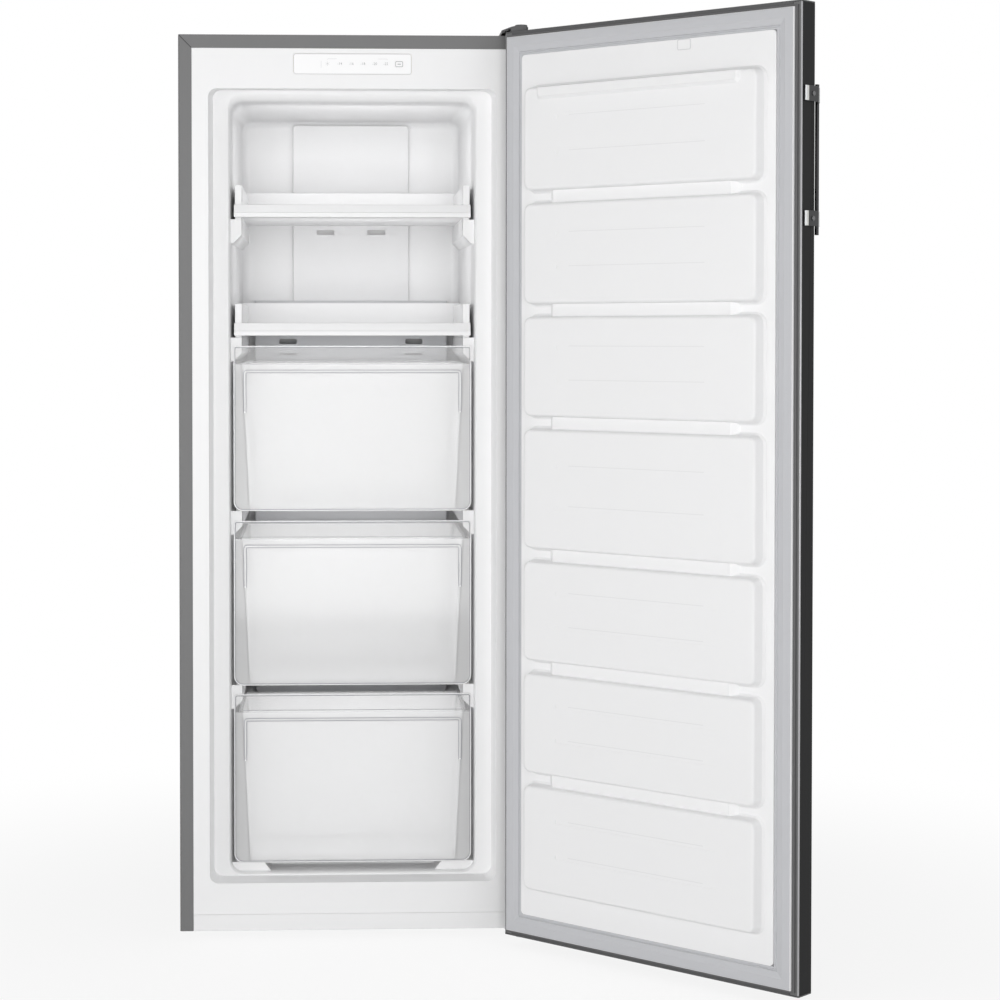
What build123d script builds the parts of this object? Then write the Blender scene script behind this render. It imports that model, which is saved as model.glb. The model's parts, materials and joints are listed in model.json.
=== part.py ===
from build123d import *
import math
import os

os.makedirs("parts", exist_ok=True)

# Upright freezer, door on the right, shown with the door swung open.
# Working frame: X to the right, Y into the cabinet, Z up; the cabinet's front plane is Y = 0
# and the floor is Z = 0.  At the end everything is moved so that the origin is the bottom
# centre of the whole object's box.

# ------------------------------------------------------------------ driving sizes, millimetres
# cabinet
cabinet_width = 550.0
cabinet_height = 1422.0
cabinet_depth = 480.0
floor_gap = 13.0
half = cabinet_width / 2
casing_top = floor_gap + cabinet_height
sheet = 1.0
casing_bend = 2.5
band_width = 21.0
band_hem = 6.0
rear_lip = 12.0
panel_gap = 0.3
liner_wall = 2.0
running_gap = 0.06

# recess that takes the raised blocks of the door
recess_half = half - 47.0
recess_draft = 6.0
recess_depth = 30.0
recess_bottom = floor_gap + 75.5
recess_top = casing_top - 84.5
recess_corner = 14.0

# cavity
cavity_half = half - 80.7
cavity_draft = 5.3
cavity_floor = floor_gap + 87.2
cavity_ceiling = casing_top - 102.0
cavity_back = cabinet_depth - 84.0
cavity_corner = 18.0
cavity_back_round = 14.0
mouth_roll = 14.0
mouth_side_roll = 4.0
mouth_steps = 4

# moulded rails: storeys from the floor ledges to the ceiling, as shares of that height
ledge_top = floor_gap + 101.0
storey_shares = (285.4, 279.9, 277.7, 189.0, 187.0)
storey_unit = (cavity_ceiling - ledge_top) / sum(storey_shares)
rail_names = ("drawer_middle", "drawer_upper", "tray_lower", "tray_upper")
rail_tops = {name: ledge_top + storey_unit * sum(storey_shares[:n + 1]) for n, name in enumerate(rail_names)}
rail_height = 37.0
rail_chamfer = 12.0
rail_inner_half = cavity_half - 17.0
rail_front = recess_depth + 10.0
ledge_inner_half = cavity_half - 51.3
ledge_slope = 17.0
shoulder_half = cavity_half - 22.3
shoulder_foot_half = ledge_inner_half

# space of the compressor, and the hump of the cavity above it
bay_front = cabinet_depth - 178.0
bay_top = floor_gap + 251.0
hump_front = bay_front - 50.0
hump_top = bay_top + 50.0
shoulder_top = hump_top + 33.0

# lower front strip
plinth_height = 26.0
plinth_wall = 2.0
plinth_return = 20.0
plinth_rib_pitch = half * 0.58

# control panel
control_width = 186.6
control_height = 32.3
control_z = casing_top - 45.6
control_round = 4.0
control_wall = 2.2
control_inset = 0.2
control_depth = 14.0
button_width = 12.0
button_height = 9.0
button_x = control_width / 2 - 19.5
button_proud = 0.6
button_travel = 1.2
button_clearance = 0.25
board_thickness = 1.6

# covers of the air ducts on the back wall
upper_cover_half = cavity_half - 93.3
upper_cover_top = cavity_ceiling - 7.0
upper_cover_raise = 12.0
upper_cover_round = 6.0
cover_wall = 2.0
cover_edge = 1.5
vent_half = upper_cover_half - 41.5
vent_bottom = rail_tops["tray_upper"] - 9.9
vent_height = 8.3
vent_bridge_half = 29.0
lower_cover_half = cavity_half - 27.3
lower_cover_top = rail_tops["tray_lower"] + 64.0
lower_cover_raise = 36.0
slot_inner = lower_cover_half - 73.0
slot_width = 30.0
slot_z = lower_cover_top - 70.8
slot_height = 9.0
thin_slot_z = slot_z - 22.2
thin_slot_height = 3.0

# evaporator and fan behind the lower cover
coil_half = lower_cover_half - 27.0
coil_bottom = hump_top + 246.0
coil_pitch = 32.0
coil_runs = 6
coil_tube = 4.0
coil_depth = 28.0
fin_count = 7
fin_thickness = 1.0
heater_radius = 4.0
heater_drop = 26.0
fan_z = lower_cover_top - 55.0
fan_ring_radius = 50.0
fan_ring_wall = 2.0
fan_ring_depth = 20.0
fan_tip_gap = 4.0
fan_hub_radius = 15.0
fan_hub_depth = 13.0
fan_blades = 5
fan_motor_radius = 19.0
fan_motor_depth = 14.0
fan_shaft_radius = 2.0

# tray shelves
tray_half = cavity_half - 6.8
tray_front = recess_depth + 2.0
tray_rear = cavity_back - 58.0
tray_floor_thickness = 2.6
tray_runner = 3.0
tray_runner_width = 10.0
tray_trim_height = 20.0
tray_trim_lip = 7.8
tray_side_width = 10.6
tray_side_height = 51.0
tray_back_height = 56.0
tray_wall = 2.2
tray_travel = 260.0

# clear drawers; the head gaps are those under the next rails
drawer_front = recess_depth + 3.0
drawer_half = cavity_half - 4.1
drawer_wall = 2.4
drawer_seat_gap = 0.3
drawer_head_gaps = (13.8, 15.3, 13.1)
drawer_rim_drop = 26.5
drawer_top_half = rail_inner_half + 1.7
drawer_floor_half = rail_inner_half - 10.3
drawer_runner_half = cavity_half - 7.8
drawer_rear = cavity_back - 46.0
drawer_low_rear = hump_front - 16.0
drawer_corner = 15.0
drawer_floor_round = 8.0
drawer_rim_width = 3.0
drawer_rim_height = 2.2
drawer_grip_half = drawer_half - 15.7
drawer_grip_drop = 38.5
drawer_grip_width = 4.6
drawer_grip_leg = 68.0
drawer_grip_proud = 1.2
drawer_pads = 4
drawer_pad_width = 15.0
drawer_pad_length = 44.0
drawer_pad_height = 1.4
drawer_travel = 270.0
drawer_low_travel = 200.0

# door, measured with the door closed
door_bottom = floor_gap + 1.1
door_top = casing_top + 0.4
door_thickness = 34.8
door_flange_gap = 8.5
door_bend = 3.0
door_flange = 14.0
door_cap_wall = 2.0
door_cap_skirt = 12.0
door_open_angle = 135.66
hinge_inset = 11.6
hinge_ahead = 32.0

# raised inner panel of the door: seven blocks as shares of the height between the margins
door_base_inset = 39.6
door_base_proud = 6.3
door_block_half = half - 57.3
door_block_draft = 10.0
door_block_height = 20.6
door_block_corner = 14.0
door_block_round = 4.5
door_block_skirt = 3.2
door_block_shares = (162.3, 158.3, 157.3, 187.8, 157.8, 158.3, 166.3)
door_block_gap = 16.2
door_blocks_margin_top = 91.0
door_blocks_margin_bottom = 84.0
door_bar_height = 10.0
door_bar_half = half - 110.0
door_bar_slope = 12.5
door_pad_half = half - 88.5
door_pad_drop = 17.0
door_pad_height = 5.0
door_pad_slope = 5.0
door_groove_half = door_block_half - 68.0
door_groove_width = 6.0
door_groove_depth = 0.8
door_groove_shares = (0.31, 0.64)
sensor_pad_x = -75.0
sensor_pad_z = door_top - 48.0
sensor_pad_width = 24.0
sensor_pad_height = 16.0
sensor_pad_proud = 1.2

# gasket
gasket_inset = 6.0
gasket_face_gap = 0.5
gasket_width = door_base_inset - gasket_inset - panel_gap
gasket_magnet_width = 14.5
gasket_groove_width = 1.4

# handle
handle_top = door_top - 114.5
handle_length = 216.3
handle_bar_width = 4.0
handle_bar_depth = 6.0
handle_bar_inset = 11.5
handle_stand_off = 22.2
bracket_height = 22.0
bracket_plate = 2.5
bracket_upper_drop = 16.3
bracket_lower_rise = 22.6
bracket_plate_start = 14.0
handle_screw_head = 3.5
handle_screw_shank = 2.0
handle_screw_depth = door_flange_gap + 26.0

# hinges
hinge_pin_radius = 4.0
hinge_pin_length = 20.0
hinge_plate = 3.0
hinge_plate_width = 36.0
hinge_plate_reach = 62.0
hinge_plate_overhang = 9.5
hinge_arm_rise = 2.0
hinge_bush_radius = 7.0
hinge_bush_flange = 9.0
hinge_bush_gap = 0.3
hinge_screw_head = 5.0
hinge_screw_shank = 3.0
hinge_cap_height = 11.2
hinge_cap_wall = 1.6
hinge_cap_end = 5.2
hinge_cap_ramp = 24.0
hinge_cap_barrel = 9.5

# feet and rollers
foot_x = half - 80.0
foot_y = 75.0
foot_radius = 18.0
foot_disc = 6.0
foot_neck_radius = 8.0
foot_neck_top = 12.0
foot_stud_radius = 4.0
foot_stud_top = 48.0
insert_radius = 9.0
insert_top = 44.0
roller_x = half - 70.0
roller_y = cabinet_depth - 40.0
roller_radius = 14.0
roller_width = 16.0
roller_axle_radius = 3.0
axle_head = 1.5
axle_head_radius = 4.5
roller_ear = 2.0
roller_side_gap = 1.5
roller_bracket_flange = 9.0
base_plate_thickness = 1.5
base_flange = 22.0
base_rear_flange = 39.0

# compressor and what stands beside it
compressor_x = -70.0
compressor_y = cabinet_depth - 88.0
compressor_radius = 62.0
compressor_height = 128.0
compressor_plate = 2.5
mount_half_x = 78.0
mount_half_y = 52.0
mount_radius = 11.0
mount_height = 15.0
drip_tray_length = 170.0
drip_tray_width = 116.0
drip_tray_height = 34.0
tray_skin = 2.0
pipe_radius = 3.2
drier_radius = 9.5
drier_length = 92.0
gland_x = half - 125.0
gland_z = floor_gap + 25.0
gland_radius = 8.0
gland_bore = 3.6
drain_radius = 8.0
drain_wall = 2.0
spacer_depth = 18.0
spacer_width = 46.0
spacer_height = 60.0
spacer_x = half - 85.0
spacer_z = casing_top - 185.0

# ------------------------------------------------------------------ derived places
frame_half = half - band_width - panel_gap
frame_top = casing_top - band_width - panel_gap
plinth_top = floor_gap + plinth_height
base_top = floor_gap + base_plate_thickness
pin_x = half - hinge_inset
pin_y = -hinge_ahead
door_inner = -door_flange_gap
door_outer = door_inner - door_thickness
door_base = door_inner + door_base_proud
block_face = door_base + door_block_height
upper_cover_face = cavity_back - upper_cover_raise
lower_cover_face = cavity_back - lower_cover_raise
gasket_face = -gasket_face_gap
storeys = [storey_unit * share for share in storey_shares]
drawer_heights = [room - drawer_seat_gap - gap for room, gap in zip(storeys, drawer_head_gaps)]
block_room = door_top - door_bottom - door_blocks_margin_top - door_blocks_margin_bottom
block_room -= door_block_gap * (len(door_block_shares) - 1)
block_unit = block_room / sum(door_block_shares)
handle_bottom = handle_top - handle_length
bracket_zs = (handle_top - bracket_upper_drop, handle_bottom + bracket_lower_rise)
roller_slot_half = roller_width / 2 + roller_side_gap + roller_ear + axle_head + 0.8
compressor_base = base_top + mount_height + compressor_plate
compressor_top = compressor_base + compressor_height


# ------------------------------------------------------------------ form helpers
def block(x0, x1, y0, y1, z0, z1):
    """Straight block between two corners."""
    middle = Pos((x0 + x1) / 2, (y0 + y1) / 2, (z0 + z1) / 2)
    return middle * Box(x1 - x0, y1 - y0, z1 - z0)


def along_x(points, x0, x1):
    """Prism along X of a section given as (y, z) points."""
    outline = Polyline(*[(x0, y, z) for y, z in points], close=True)
    return extrude(make_face(outline), amount=x1 - x0, dir=(1, 0, 0))


def along_y(points, y0, y1):
    """Prism along Y of a section given as (x, z) points."""
    outline = Polyline(*[(x, y0, z) for x, z in points], close=True)
    return extrude(make_face(outline), amount=y1 - y0, dir=(0, 1, 0))


def along_z(points, z0, z1):
    """Prism along Z of a section given as (x, y) points."""
    outline = Polyline(*[(x, y, z0) for x, y in points], close=True)
    return extrude(make_face(outline), amount=z1 - z0, dir=(0, 0, 1))


def facing_sheet(x0, x1, z0, z1, y, radius):
    """Rounded rectangle in the plane at y, facing into the cabinet."""
    plane = Plane(origin=((x0 + x1) / 2, y, (z0 + z1) / 2), x_dir=(1, 0, 0), z_dir=(0, 1, 0))
    return plane * RectangleRounded(x1 - x0, z1 - z0, radius)


def facing_slab(x0, x1, z0, z1, y0, y1, radius):
    """Slab with rounded corners, seen from the front, between two depths."""
    return extrude(facing_sheet(x0, x1, z0, z1, y0, radius), amount=y1 - y0, dir=(0, 1, 0))


def plan_slab(x0, x1, y0, y1, z0, z1, radius):
    """Slab with rounded corners, seen from above."""
    plane = Plane(origin=((x0 + x1) / 2, (y0 + y1) / 2, z0))
    return extrude(plane * RectangleRounded(x1 - x0, y1 - y0, radius), amount=z1 - z0)


def post(x, y, z0, z1, radius):
    """Upright round bar."""
    return Pos(x, y, (z0 + z1) / 2) * Cylinder(radius, z1 - z0)


def rod_x(x0, x1, y, z, radius):
    """Round bar along X."""
    return Pos((x0 + x1) / 2, y, z) * Rot(0, 90, 0) * Cylinder(radius, x1 - x0)


def rod_y(x, y0, y1, z, radius):
    """Round bar along Y."""
    return Pos(x, (y0 + y1) / 2, z) * Rot(90, 0, 0) * Cylinder(radius, y1 - y0)


def mirrored(form):
    """A form and its mirror image across the middle plane."""
    return form + mirror(form, about=Plane.YZ)


def rolled(sections):
    """Body through rounded rectangles that stand one behind the other, with straight walls between."""
    return loft([facing_sheet(*section) for section in sections], ruled=True)


def stepped_sheet(x0, x1, z0, z1, y, radius, steps):
    """Rectangle in the plane at y whose corners turn through quarter circles in a few straight steps."""
    points = []
    for cx, cz, start in ((x1 - radius, z0 + radius, -90), (x1 - radius, z1 - radius, 0),
                          (x0 + radius, z1 - radius, 90), (x0 + radius, z0 + radius, 180)):
        for step in range(steps + 1):
            angle = math.radians(start + 90.0 * step / steps)
            points.append((cx + radius * math.cos(angle), y, cz + radius * math.sin(angle)))
    return make_face(Polyline(*points, close=True))


def pipe(points, radii, radius):
    """Bent pipe through the given points, with a six-sided section."""
    path = FilletPolyline(*points, radius=radii)
    start = path @ 0
    heading = path % 0
    return sweep(Plane(origin=start, z_dir=heading) * RegularPolygon(radius * 1.05, 6), path=path)


# ------------------------------------------------------------------ cabinet shell
def outer_casing():
    """Steel wrap: two sides, top, front band with its hem, and rear lips."""
    skin = block(-half, half, 0, cabinet_depth, floor_gap, casing_top)
    bends = [e for e in skin.edges().filter_by(Axis.Z) if e.center().Y < 1]
    bends += [e for e in skin.edges().filter_by(Axis.Y) if e.center().Z > casing_top - 1]
    skin = fillet(bends, casing_bend)
    skin -= block(-half + sheet, half - sheet, sheet, cabinet_depth - sheet, 0, casing_top - sheet)
    window = half - band_width
    skin -= block(-window, window, -1, sheet + 1, 0, casing_top - band_width)
    rear = half - rear_lip
    skin -= block(-rear, rear, cabinet_depth - 2 * sheet, cabinet_depth + 1, 0, casing_top - rear_lip)
    hem = block(-window - sheet, window + sheet, 0, band_hem, floor_gap, casing_top - band_width + sheet)
    hem -= block(-window, window, -1, band_hem + 1, 0, casing_top - band_width)
    skin += hem
    for x, y in hinge_screw_places():
        skin -= post(x, y, casing_top - 2 * sheet, casing_top + 1, hinge_screw_shank + 0.05)
    return skin


def back_panel():
    """Rear sheet above the compressor bay, stiffened by upright beads."""
    lip = rear_lip / 2
    y = cabinet_depth
    panel = block(-half + lip, half - lip, y, y + sheet, bay_top, casing_top - lip)
    for share in (-0.54, -0.18, 0.18, 0.54):
        x = share * half
        bead = block(x - 9, x + 9, y, y + 3, bay_top + 70, casing_top - 90)
        panel += chamfer(bead.edges().filter_by(Axis.Y), 7.0)
    return panel


def rear_spacers():
    """Two stand-offs that keep the cabinet clear of the wall."""
    y = cabinet_depth + sheet
    spacer = facing_slab(-spacer_width / 2, spacer_width / 2, 0, spacer_height, y, y + spacer_depth - sheet, 8)
    rim = facing_slab(-spacer_width / 2 + 3, spacer_width / 2 - 3, 3, spacer_height - 3,
                      y + 4, y + spacer_depth, 5)
    spacer -= rim
    spacer += block(-1.2, 1.2, y, y + spacer_depth - sheet, 2, spacer_height - 2)
    return [Pos(side * spacer_x, 0, spacer_z) * spacer for side in (-1, 1)]


def back_panel_screws():
    """Small pan-head screws along the rear panel's edges."""
    screws = []
    for side in (-1, 1):
        for z in (bay_top + 40, (bay_top + casing_top) / 2, casing_top - 40):
            x = side * (half - rear_lip * 0.75)
            screws.append(rod_y(x, cabinet_depth + sheet, cabinet_depth + sheet + 2.2, z, 3.6))
    return screws


def base_plate():
    """Steel pan under the cabinet with turned-up flanges, wheel slots and foot holes."""
    side = half - sheet
    y0 = plinth_return + plinth_wall
    y1 = cabinet_depth - sheet
    plate = block(-side, side, y0, y1, floor_gap, base_top)
    plate += mirrored(block(side - base_plate_thickness, side, y0, y1, floor_gap, floor_gap + base_flange))
    plate += block(-side + rear_lip, side - rear_lip, y1 - base_plate_thickness, y1, floor_gap,
                   floor_gap + base_rear_flange)
    for s in (-1, 1):
        slot = roller_slot_half
        plate -= block(s * roller_x - slot, s * roller_x + slot, roller_y - roller_radius - 4,
                       roller_y + roller_radius + 4, 0, base_top + 1)
        plate -= post(s * foot_x, foot_y, 0, base_top + 1, foot_stud_radius + 0.6)
    for x, y in hinge_screw_places():
        plate -= post(x, y, 0, base_top + 1, hinge_screw_shank + 0.05)
    plate -= rod_y(gland_x, y1 - 5, y1 + 5, gland_z, gland_radius - 2 + 0.05)
    return plate


def hinge_recess_cut(z0, z1):
    """Round spaces in the base foam above the hinge screws."""
    cut = None
    for x, y in hinge_screw_places():
        hole = post(x, y, z0, z1, hinge_screw_shank + 0.3)
        cut = hole if cut is None else cut + hole
    return cut


def plinth_strip():
    """White strip under the cabinet's front, turned back at its top and bottom."""
    wide = frame_half
    strip = block(-wide, wide, 0, plinth_return, floor_gap, plinth_top)
    strip -= block(-wide - 1, wide + 1, plinth_wall, plinth_return + 1, floor_gap + plinth_wall, plinth_top - plinth_wall)
    for x in (-plinth_rib_pitch, 0.0, plinth_rib_pitch):
        strip += block(x - 1, x + 1, 1, plinth_return, floor_gap + 1, plinth_top - 1)
    return strip


def rail_section(top, grow):
    """Section of a moulded rail on the right wall: flat top, upright nose, sloping underside."""
    nose = rail_inner_half + grow
    outside = cavity_half + 12
    crown = top - grow
    low = top - rail_height + grow
    return [(nose, crown), (outside, crown), (outside, low - 6), (nose + rail_chamfer, low), (nose, low + rail_chamfer)]


def cavity_form(grow):
    """Inside space of the cabinet; grow gives the outside of the liner's skin."""
    front = facing_sheet(-recess_half - grow, recess_half + grow, recess_bottom - grow, recess_top + grow,
                         -1.0, recess_corner)
    inner = recess_half - recess_draft + grow
    back = facing_sheet(-inner, inner, recess_bottom + recess_draft - grow, recess_top + grow,
                        recess_depth + grow, recess_corner)
    recess = loft([front, back])

    mouth = facing_sheet(-cavity_half - grow, cavity_half + grow, cavity_floor - grow, cavity_ceiling + grow,
                         recess_depth - 2.0, cavity_corner + grow)
    steps = [(recess_depth - 1.0, 1.0)]
    for step in range(mouth_steps):
        turn = math.radians(90.0 * step / mouth_steps)
        steps.append((recess_depth + grow + (mouth_roll - grow) * (1 - math.cos(turn)), 1 - math.sin(turn)))
    steps.append((recess_depth + mouth_roll + 1.0, -0.05))
    sections = []
    for depth, share in steps:
        rise = (mouth_roll - grow) * share
        wide = (mouth_side_roll - grow) * share - 0.3 * (share < 0)
        sections.append((-cavity_half - grow - wide, cavity_half + grow + wide, cavity_floor - grow - wide,
                         cavity_ceiling + grow + rise, depth, cavity_corner + grow + wide))
    rear_half = cavity_half - cavity_draft + grow
    rear = facing_sheet(-rear_half, rear_half, cavity_floor - grow, cavity_ceiling + grow,
                        cavity_back + grow, cavity_corner + grow)
    room = loft([mouth, rear])
    lips = rolled(sections)
    room = fillet(room.faces().sort_by(Axis.Y)[-1].edges(), cavity_back_round) + lips

    for top in rail_tops.values():
        room -= mirrored(along_y(rail_section(top, grow), rail_front + grow, cavity_back + 8))
    inner = ledge_inner_half + grow
    foot = cavity_floor - 8
    ledge = [(inner, ledge_top - grow), (cavity_half + 12, ledge_top - grow),
             (cavity_half + 12, foot), (inner - ledge_slope, foot + 8 - grow), (inner - ledge_slope, foot)]
    room -= mirrored(along_y(ledge, rail_front + grow, cavity_back + 8))
    outside = cavity_half + 12
    high = shoulder_half + grow
    low = shoulder_foot_half + grow
    hump = [(-outside, foot), (-outside, shoulder_top - grow), (-high, shoulder_top - grow),
            (-low, hump_top - grow), (low, hump_top - grow), (high, shoulder_top - grow),
            (outside, shoulder_top - grow), (outside, foot)]
    room -= along_y(hump, hump_front + grow, cavity_back + 8)
    return recess + room


def drain_place():
    """Centre of the drain through the hump, just ahead of the back wall."""
    return 0.0, cavity_back - 14.0


def inner_liner():
    """One moulded skin: front frame, recess, cavity with rails, ledges and hump."""
    skin = block(-frame_half, frame_half, 0, liner_wall, plinth_top + panel_gap, frame_top)
    skin += cavity_form(liner_wall) & block(-half, half, 0, cabinet_depth, 0, casing_top)
    skin -= cavity_form(0)
    opening = control_width / 2 + panel_gap
    skin -= facing_slab(-opening, opening, control_z - control_height / 2 - panel_gap,
                        control_z + control_height / 2 + panel_gap, -1, liner_wall + 1, control_round + panel_gap)
    x, y = drain_place()
    skin -= post(x, y, hump_top - 6, hump_top + 6, drain_radius - drain_wall)
    return skin


def cabinet_foam():
    """Rigid foam between casing and liner, with the compressor bay cut out."""
    side = half - sheet
    foam = block(-side, side, liner_wall, cabinet_depth - 2 * sheet, base_top, casing_top - sheet)
    foam -= cavity_form(liner_wall)
    frame = frame_half - panel_gap
    hem = block(-side - 1, side + 1, -1, band_hem, 0, casing_top)
    hem -= block(-frame, frame, -2, band_hem + 1, -1, frame_top - panel_gap)
    foam -= hem
    foam -= block(-side - 1, side + 1, -1, plinth_return + plinth_wall, 0, plinth_top)
    foam -= block(-side - 1, side + 1, bay_front - sheet, cabinet_depth, 0, bay_top + sheet)
    pocket = control_width / 2 + panel_gap
    foam -= block(-pocket, pocket, 0, liner_wall + control_depth + 8, control_z - control_height / 2 - panel_gap,
                  control_z + control_height / 2 + panel_gap)
    flange = floor_gap + base_flange
    foam -= mirrored(block(side - base_plate_thickness, side + 1, 0, cabinet_depth, 0, flange))
    foam -= hinge_recess_cut(base_top - 1, base_top + 8)
    for s in (-1, 1):
        foam -= post(s * foot_x, foot_y, 0, insert_top, insert_radius)
        foam -= post(s * foot_x, foot_y, 0, foot_stud_top + 4, foot_stud_radius + 1)
    x, y = drain_place()
    foam -= post(x, y, bay_top - 5, hump_top + 5, drain_radius)
    return foam


def bay_wall():
    """Sheet that closes the foam towards the compressor bay: upright and roof in one bend."""
    side = half - sheet - panel_gap
    section = [(bay_front - sheet, base_top), (bay_front, base_top), (bay_front, bay_top),
               (cabinet_depth - 2 * sheet, bay_top), (cabinet_depth - 2 * sheet, bay_top + sheet),
               (bay_front - sheet, bay_top + sheet)]
    wall = along_x(section, -side, side)
    inner = side - base_plate_thickness
    notch = block(inner, half, bay_front - 2, cabinet_depth, 0, floor_gap + base_flange + panel_gap)
    wall -= mirrored(notch)
    x, y = drain_place()
    return wall - post(x, y, bay_top - 5, bay_top + 5, drain_radius)


def drain_tube():
    """Short tube that leads melt water from the hump down to the drip tray."""
    x, y = drain_place()
    low = bay_top - 22
    return post(x, y, low, hump_top - liner_wall, drain_radius) - post(x, y, low - 1, hump_top, drain_radius - drain_wall)


# ------------------------------------------------------------------ control panel
def control_panel():
    """Flush fascia with a rim behind it and the window of the set button."""
    low = control_z - control_height / 2
    high = control_z + control_height / 2
    wide = control_width / 2
    y0 = control_inset
    fascia = facing_slab(-wide, wide, low, high, y0, y0 + control_depth, control_round)
    inside = control_round - control_wall
    fascia -= facing_slab(-wide + control_wall, wide - control_wall, low + control_wall, high - control_wall,
                          y0 + control_wall, y0 + control_depth + 1, inside)
    window = button_width / 2 + button_clearance
    tall = button_height / 2 + button_clearance
    fascia -= facing_slab(button_x - window, button_x + window, control_z - tall, control_z + tall,
                          -1, y0 + control_wall + 1, 1.7)
    return fascia


def set_button():
    """Push button with a keeper flange behind the fascia."""
    wide = button_width / 2
    tall = button_height / 2
    rear = control_inset + control_wall
    cap = facing_slab(button_x - wide, button_x + wide, control_z - tall, control_z + tall, -button_proud, rear + 3.0, 1.5)
    cap = chamfer(cap.faces().sort_by(Axis.Y)[0].edges(), 0.4)
    keeper = rear + 0.2
    return cap + block(button_x - wide - 1.5, button_x + wide + 1.5, keeper, keeper + 1.2,
                       control_z - tall - 1.2, control_z + tall + 1.2)


def control_board():
    """Circuit board on the fascia's rim with the switch behind the button."""
    wide = control_width / 2 - control_wall - panel_gap
    low = control_z - control_height / 2 + control_wall + panel_gap
    high = control_z + control_height / 2 - control_wall - panel_gap
    y0 = control_inset + control_wall + 3.0 + button_travel + 2.6
    board = facing_slab(-wide, wide, low, high, y0, y0 + board_thickness, 2.0)
    board += block(button_x - 3, button_x + 3, y0 - 2.2, y0, control_z - 3, control_z + 3)
    for share in (-0.75, -0.38, 0.0, 0.38):
        x = share * wide
        board += block(x - 5, x + 5, y0 + board_thickness, y0 + board_thickness + 3, control_z - 5, control_z + 5)
    for share in (-0.93, -0.22, 0.55):
        x = share * wide
        board += block(x - 1.5, x + 1.5, control_inset + control_wall, y0, high - 3, high)
    return board


# ------------------------------------------------------------------ covers and cold parts
def upper_duct_cover():
    """Raised centre cover of the back wall with its bridged air slot."""
    y0 = upper_cover_face
    cover = facing_slab(-upper_cover_half, upper_cover_half, lower_cover_top - 20, upper_cover_top,
                        y0, cavity_back, upper_cover_round)
    cover = chamfer(cover.faces().sort_by(Axis.Y)[0].edges(), cover_edge)
    wall = cover_wall
    cover -= block(-upper_cover_half + wall, upper_cover_half - wall, y0 + wall, cavity_back + 1,
                   lower_cover_top - 30, upper_cover_top - wall)
    cover &= block(-half, half, 0, cabinet_depth, lower_cover_top + 0.1, casing_top)
    foot = cavity_ceiling - cavity_back_round - 1.5
    relief = [(cavity_back, foot), (cavity_back - 2.8, upper_cover_top + 1), (cavity_back + 1, upper_cover_top + 1),
              (cavity_back + 1, foot)]
    cover -= along_x(relief, -half, half)
    slot = facing_slab(-vent_half, vent_half, vent_bottom, vent_bottom + vent_height, y0 - 1, y0 + wall + 1, 0.4)
    slot -= block(-vent_bridge_half, vent_bridge_half, y0 + 0.8, y0 + 8, vent_bottom - 1, vent_bottom + vent_height + 1)
    return cover - slot


def lower_duct_cover():
    """Full-width cover of the evaporator, open behind, standing on the hump."""
    y0 = lower_cover_face
    wall = cover_wall
    section = [(-lower_cover_half, lower_cover_top), (-lower_cover_half, shoulder_top + 1),
               (-shoulder_foot_half + 1, hump_top + 0.2), (shoulder_foot_half - 1, hump_top + 0.2),
               (lower_cover_half, shoulder_top + 1), (lower_cover_half, lower_cover_top)]
    cover = along_y(section, y0, cavity_back)
    edges = [e for e in cover.faces().sort_by(Axis.Y)[0].edges() if e.center().Z > shoulder_top + 20]
    cover = fillet(edges, 3.0)
    cover -= block(-lower_cover_half + wall, lower_cover_half - wall, y0 + wall, cavity_back + 1,
                   shoulder_top + 6, lower_cover_top - wall)
    cover -= block(-shoulder_foot_half + 6, shoulder_foot_half - 6, y0 + wall, cavity_back + 1,
                   hump_top - 1, shoulder_top + 7)
    inner = slot_inner
    outer = slot_inner + slot_width
    low = slot_z - slot_height / 2
    cover -= mirrored(facing_slab(inner, outer, low, low + slot_height, y0 - 1, y0 + wall + 1, 3.0))
    thin = thin_slot_z - thin_slot_height / 2
    cover -= mirrored(facing_slab(inner, outer, thin, thin + thin_slot_height, y0 - 1, y0 + wall + 1, 1.2))
    cover -= block(-5, 5, y0 - 1, y0 + wall + 1, shoulder_top + 9, shoulder_top + 13)
    return cover


def evaporator():
    """Serpentine tube through upright fins, between two end plates on the back wall."""
    middle = cavity_back - lower_cover_raise / 2
    reach = coil_half - coil_pitch / 2
    top = coil_bottom + coil_pitch * (coil_runs - 1)
    points = []
    for i in range(coil_runs):
        z = coil_bottom + i * coil_pitch
        ends = (-reach - coil_pitch / 2, reach + coil_pitch / 2)
        pair = ends if i % 2 == 0 else ends[::-1]
        points += [(pair[0], middle, z), (pair[1], middle, z)]
    coil = pipe(points, coil_pitch / 2 - 0.1, coil_tube)
    front = middle - coil_depth / 2
    for i in range(fin_count):
        x = -reach + 2 * reach * i / (fin_count - 1)
        back = cavity_back if i in (0, fin_count - 1) else front + coil_depth
        coil += block(x - fin_thickness / 2, x + fin_thickness / 2, front, back, coil_bottom - 12, top + 12)
    return coil


def defrost_heater():
    """Straight heater rod under the coil, held by two clips on the back wall."""
    middle = cavity_back - lower_cover_raise / 2
    z = coil_bottom - heater_drop
    rod = rod_x(-coil_half + 8, coil_half - 8, middle, z, heater_radius)
    for x in (-coil_half + 22, coil_half - 22):
        rod += block(x - 4, x + 4, middle - 2, cavity_back, z - 2, z + 2)
    return rod


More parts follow.
